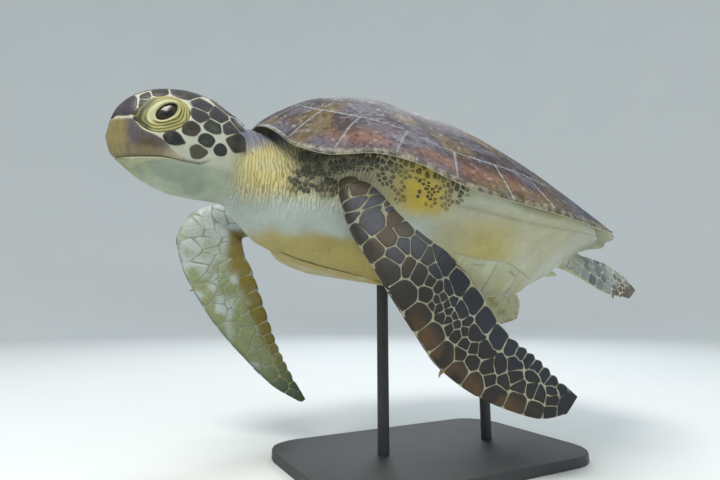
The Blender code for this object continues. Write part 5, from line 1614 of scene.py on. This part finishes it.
def plastron_surface(x, y):
    """Full thickness inside, thinning over the last centimetre to a feather edge on the skin."""
    bridge = smooth(BRIDGE_FRONT + 0.014, BRIDGE_FRONT, x) * smooth(BRIDGE_REAR - 0.014, BRIDGE_REAR, x)
    out = plastron_half_width(x) + BRIDGE_WIDTH * bridge - np.abs(y)
    near = np.minimum(np.minimum(out, PLASTRON_SEAMS[0] - x), x - PLASTRON_SEAMS[-1])
    full = BED + PLASTRON_THICKNESS + BARE_DEPTH - 0.0002
    return plastron_base(x, y) - 0.0006 - full * (0.3 + 0.7 * smooth(-0.001, 0.010, near))


PLASTRON = dict(surface=plastron_surface, base=plastron_base, under=-1, spacing=0.0040, slot="plastron",
                horn=PLASTRON_HORN)


def build_plastron():
    """Plastron plates in left and right halves, and four plates along each bridge."""
    pieces = {}
    for k, name in enumerate(PLASTRON_NAMES):
        x = np.linspace(PLASTRON_SEAMS[k], PLASTRON_SEAMS[k + 1], 12)
        left = np.column_stack([np.append(x, [x[-1], x[0]]), np.append(plastron_half_width(x), [0.0, 0.0])])
        halves = [(half, centre_of(half)) for half in (left, left * (1, -1))]
        pieces["plastron_" + name] = (halves, 140 + k)
    cuts = np.linspace(BRIDGE_FRONT, BRIDGE_REAR, 5)
    for side, name in ((1, "left"), (-1, "right")):
        outlines = []
        for front, rear in zip(cuts, cuts[1:]):
            x = np.linspace(front, rear, 7)
            near = np.column_stack([x, plastron_half_width(x)])
            out = x * 0.88 + 0.001
            far = np.column_stack([out, np.minimum(near[:, 1], plastron_half_width(out)) + BRIDGE_WIDTH])
            corners = np.concatenate([near, far[::-1]]) * (1, side)
            outlines.append((corners, centre_of(corners)))
        pieces["bridge_" + name] = (outlines, 150 + side)
    for name, (outlines, seed) in pieces.items():
        plates_piece(name, outlines, lambda p, item: belly_colour(p, item, seed), PLASTRON)


# ---------------------------------------------------------------- beak, eyes, claws

# Upper edge of the upper sheath and lower edge of the lower one, by place along the head
beak_line = curve_through([0.270, 0.274, 0.281, 0.290, 0.298, 0.306, 0.3115, 0.316, 0.326, 0.333],
                          [-0.0080, -0.0058, -0.0012, 0.0058, 0.0092, 0.0120, 0.0172, 0.0208, 0.0192, 0.0180])
jaw_line = curve_through([0.258, 0.272, 0.285, 0.300, 0.309, 0.318, 0.333],
                         [-0.0098, -0.0105, -0.0122, -0.0170, -0.0225, -0.0180, -0.0170])
SNOUT_TURN = 0.302        # the sheath runs straight along the jaws behind here and round the snout before it


def snout_reach(around, level, rear):
    """The head's surface met by level rays: straight sideways from the midline behind the snout, fanning out
    from one point in front of it. around is -1 at the right hind end, 0 at the tip, 1 at the left."""
    turn = np.clip(np.abs(around) / 0.5, 0, 1) * np.pi / 2
    behind = np.clip((np.abs(around) - 0.5) / 0.5, 0, 1)
    start = SNOUT_TURN - behind * (SNOUT_TURN - rear)
    low, high = np.zeros_like(level), np.full_like(level, 0.06)
    for _ in range(26):
        middle = (low + high) / 2
        x = start + middle * np.cos(turn)
        inside = (x < SNOUT_TIP) & (level > head_low(x)) & (level < head_top(x))
        inside &= middle * np.sin(turn) < head_reach_sideways(np.minimum(x, SNOUT_TIP), level)
        low, high = np.where(inside, middle, low), np.where(inside, high, middle)
    return start + low * np.cos(turn), np.sign(around) * low * np.sin(turn)


def sheath(name, replaced, edge_at, far_at, tint_of, rear):
    """A horn sheath 1.6 mm thick over the jaw, from its cutting edge to its far border, as a closed tube
    whose sections run up outside and down inside."""
    around = np.linspace(-1, 1, 190)[:, None]
    t = np.linspace(0, 1, 30)[None]
    first_x, _ = snout_reach(around, np.full_like(around, -0.0130), rear)
    width = np.abs(far_at(first_x) - edge_at(first_x))
    around = np.broadcast_to(around, (190, 30))
    x = first_x
    for _ in range(3):
        level = edge_at(x) * (1 - t) + far_at(x) * t
        x, y = snout_reach(around, level, rear)
    outer = np.stack([x, y, level], axis=-1)
    core = np.stack([np.minimum(x, SNOUT_TURN), 0 * y, 0 * level - 0.012], axis=-1)
    inward = core - outer
    inward /= np.linalg.norm(inward, axis=-1, keepdims=True)
    border = np.minimum(np.minimum(t, 1 - t) * width, (1 - np.abs(around)) * 0.1)
    rounded = 0.0008 * (1 - np.clip(border / 0.0012, 0, 1)) ** 2
    outer = outer + inward * (SHEATH_DEPTH + rounded)[..., None]
    inner = outer[:, ::-1] + inward[:, ::-1] * 0.0014
    shape = tube(np.concatenate([outer, inner], axis=1))
    share = np.concatenate([np.broadcast_to(t, x.shape), np.broadcast_to(t[:, ::-1], x.shape)], axis=1)
    share = np.append(share, [0.0, 0.0])
    run = np.append(np.concatenate([around, around], axis=1) * 0.075, [0.0, 0.0])
    growth = np.column_stack([run, share * 0.0026, 0 * run])
    add_piece(name, shape, BEAK, (replaced,), tint_of(shape[0], share), {"Growth": growth})


def upper_tint(p, share):
    """Olive-tan tip, purple-grey cloud high behind the nostril, brown patch under the eye, pale upper edge,
    and a darker band along the cutting edge, painted shadow of the mouth's slit.
    """
    forward, up = p[:, 0], p[:, 2]
    cloud = rough(p, 0.007, 171)
    behind = smooth(0.3215, 0.3140, forward + 0.003 * (cloud - 0.5) - 0.25 * (up - 0.010))
    brown = spot(forward, up, (0.299, -0.0005), (0.008, 0.0050))
    return layered(mixed("#857a4a", "#9d9160", cloud),
                   (mixed("#4d4650", "#68626c", cloud), 0.94 * behind),
                   ("#57452c", np.clip(1.2 * brown, 0, 1) * smooth(0.25, 0.6, cloud + 0.15)),
                   ("#8b7d52", 0.7 * behind * smooth(0.0005, -0.0060, up)),
                   ("#b4b08c", smooth(0.290, 0.276, forward)),
                   ("#cfccb0", smooth(0.90, 1.0, share) * 0.9),
                   # painted shadow of the mouth's slit: a darker band along the cutting edge
                   ("#5e5230", 0.5 * smooth(0.08, 0.0, share)))


def lower_tint(p, share):
    """Olive-yellow at the tip, paling backwards along the jaw, with a bone-coloured cutting edge."""
    forward = p[:, 0]
    return layered(mixed("#8a8b50", "#a1a36a", rough(p, 0.008, 181)),
                   ("#b0b894", smooth(0.321, 0.306, forward)),
                   ("#a3ad88", 0.8 * smooth(0.55, 0.85, share)),
                   ("#d5d8bd", smooth(0.25, 0.05, share) * smooth(0.322, 0.31, forward)))


def build_beak():
    """Upper and lower sheath, which meet along the mouth's line."""
    sheath("upper_beak_sheath", "upper_beak", lambda x: mouth_line(x) + 0.0003,
           lambda x: np.maximum(beak_line(x), mouth_line(x) + 0.0004), upper_tint, 0.2705)
    sheath("lower_beak_sheath", "lower_beak", lambda x: mouth_line(x) - 0.0007,
           lambda x: np.minimum(jaw_line(x), mouth_line(x) - 0.0009), lower_tint, 0.259)


def build_eyes():
    """Eyes as flattened balls on the leaning plane of each socket: pupil, dark brown iris, darker rim."""
    polar = np.concatenate([np.linspace(0.02, 1.3, 48), np.linspace(1.36, np.pi - 0.05, 16)])[:, None]
    turn = round_steps(72)[None]
    forward = OPENING[0, 0] + EYE_ROUND * np.sin(polar) * np.cos(turn)
    up = OPENING[0, 1] + EYE_ROUND * np.sin(polar) * np.sin(turn)
    out = eye_plane(forward, up) - EYE_DEPTH * (1 - np.cos(polar))
    angle = np.broadcast_to(polar, out.shape).ravel()
    fibres = rough(np.column_stack([np.tile(turn.ravel(), len(polar)) * 3, angle * 1.2, angle * 0]), 0.5, 191)
    fibres, angle = np.append(fibres, [0, 0]), np.append(angle, [0.0, np.pi])
    colour = layered("#0a0a09", (mixed("#221d12", "#37301d", fibres), smooth(0.26, 0.31, angle)),
                     ("#12110e", smooth(0.58, 0.70, angle)))
    for side, name in ((1, "left"), (-1, "right")):
        ball = tube(np.stack([forward, side * out, up], axis=-1))
        add_piece("eyeball_" + name, ball, EYE, ("eye_" + name,), colour)


# Claws: the flipper each sits on and its place along the leading edge
CLAWS = {"front_claw_left": (LEFT_FRONT, 0.63), "front_claw_right": (RIGHT_FRONT, 0.56),
         "hind_claw_left": (LEFT_HIND, 0.80), "hind_claw_right": (RIGHT_HIND, 0.80)}


def build_claws():
    """Small curved horn claws on the leading edges, sunk at the root, tapering along a bent axis."""
    for name, (stations, place) in CLAWS.items():
        table = np.array(stations)
        at = place * (len(table) - 1)
        low = int(at)
        here = table[low] * (1 - at + low) + table[low + 1] * (at - low)
        ahead = table[low + 1, :3] - table[low, :3]
        ahead /= np.linalg.norm(ahead)
        outward = (here[:3] - here[3:6]) / np.linalg.norm(here[:3] - here[3:6])
        t = np.linspace(0, 1, 22)[:, None, None]
        turn = round_steps(20)[None, :, None]
        centre = here[:3] + outward * (0.0109 * t - 0.004) + ahead * (0.005 * t * t)
        radius = 0.0027 * (1 - 0.9 * t) * (1 + 0.06 * np.sin(t * 40))
        round_axis = np.cos(turn) * ahead + np.sin(turn) * np.cross(ahead, outward)
        add_piece(name + "_horn", tube(centre + radius * round_axis), CLAW, (name,))


def build_stand():
    """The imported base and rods, their edges softened by a small bevel, in powder coat."""
    for name in ("stand_base", "stand_rod_front", "stand_rod_rear"):
        item = NODES[name]
        item.data.materials.clear()
        item.data.materials.append(STEEL)
        weld = item.modifiers.new("Weld", "WELD")
        weld.merge_threshold = 0.00002
        bevel = item.modifiers.new("Bevel", "BEVEL")
        bevel.width = 0.0012 if name == "stand_base" else 0.0004
        bevel.segments = 3
        bevel.limit_method = "ANGLE"
        bevel.angle_limit = radians(40)


# ---------------------------------------------------------------- studio

def look_along(item, way):
    """Turns a lamp or camera to look that way."""
    item.rotation_euler = Vector(way).to_track_quat("-Z", "Y").to_euler()


def build_bowl():
    """A round bowl of paper: flat for 2.6 m, then up through a quarter circle into an upright wall."""
    t = np.linspace(0, np.pi / 2, 14)
    profile = np.concatenate([[(0.8, 0.0), (1.8, 0.0)],
                              np.column_stack([2.6 + 1.4 * np.sin(t), 1.4 - 1.4 * np.cos(t)]), [(4.0, 4.2)]])
    turn = round_steps(72)[None]
    radius, height = profile[:, :1], profile[:, 1:]
    grid = np.stack([radius * np.cos(turn), radius * np.sin(turn), height - 0.0002 + 0 * turn], axis=-1)
    points = np.concatenate([grid.reshape(-1, 3), [(0, 0, -0.0002)]])
    quads, caps = tube_faces(len(profile), 72)
    mesh = bpy.data.meshes.new("studio_bowl")
    mesh.from_pydata(points.tolist(), [], quads[:, ::-1].tolist() + caps[:72, ::-1].tolist())
    mesh.shade_smooth()
    mesh.materials.append(material("pale_paper", pale_paper))
    new_object("studio_bowl", mesh)


# Lamps: place, size, power and colour
LAMPS = {"key": ((0.7, -1.2, 2.0), 0.9, 44.0, "#fffaf2"), "fill": ((1.8, 0.6, 1.0), 1.6, 9.0, "#eef6ff"),
         "rim": ((-1.3, 0.9, 1.6), 1.0, 16.0, "#f2f8ff")}


def build_studio():
    """A plain pale floor curving up into a backdrop all round, three soft lamps and a pale sky."""
    build_bowl()
    for name, (place, size, power, colour) in LAMPS.items():
        light = bpy.data.lights.new(name, "AREA")
        light.size = size
        light.energy = power
        light.color = tuple(linear(colour))
        item = new_object(name, light)
        item.location = place
        look_along(item, np.array([0.0, 0.0, 0.25]) - np.array(place))
    world = bpy.data.worlds.new("pale_sky")
    world.use_nodes = True
    fill_in(world.node_tree.nodes["Background"], {"Color": rgba("#e4edf2"), "Strength": 0.70})
    bpy.context.scene.world = world
    bpy.context.scene.view_settings.view_transform = "Standard"


def build_camera():
    """Low at the turtle's left, a little ahead of it, looking slightly up at it."""
    lens = bpy.data.cameras.new("camera")
    lens.lens = 25.2
    lens.sensor_width = 36.0
    lens.shift_y = -0.035
    eye = new_object("camera", lens)
    eye.location = (0.469, -0.331, BODY_HEIGHT - 0.107)
    look_along(eye, (-0.868, 0.461, 0.182))
    bpy.context.scene.camera = eye


def main():
    """The whole turtle, its stand, the studio and the camera."""
    folded, plain = flesh_head(head_neck_grid())
    head, trunk = Sheet(plain), trunk_grid()
    limbs = [Limb(flipper_grid(*values[:4])) for values in LIMBS.values()]
    skin_piece(folded, trunk, limbs, tail_grid())
    head_scales(head)
    neck_scales(head, limbs)
    shoulder_scales(Sheet(trunk), limbs)
    front_flipper_scales("front_scales_left", limbs[0], (0.72, 0.02, 0.98, 0.30), 7, 1)
    front_flipper_scales("front_scales_right", limbs[1], (0.72, 0.34, 0.98, 0.62), 8, -1)
    hind_flipper_scales("hind_scales_left", limbs[2], (0.72, 0.66, 0.98, 0.80), 9, 1)
    hind_flipper_scales("hind_scales_right", limbs[3], (0.72, 0.84, 0.98, 0.98), 10, -1)
    build_carapace()
    build_plastron()
    build_beak()
    build_eyes()
    build_claws()
    build_stand()
    build_studio()
    build_camera()


main()
bpy.context.view_layer.update()
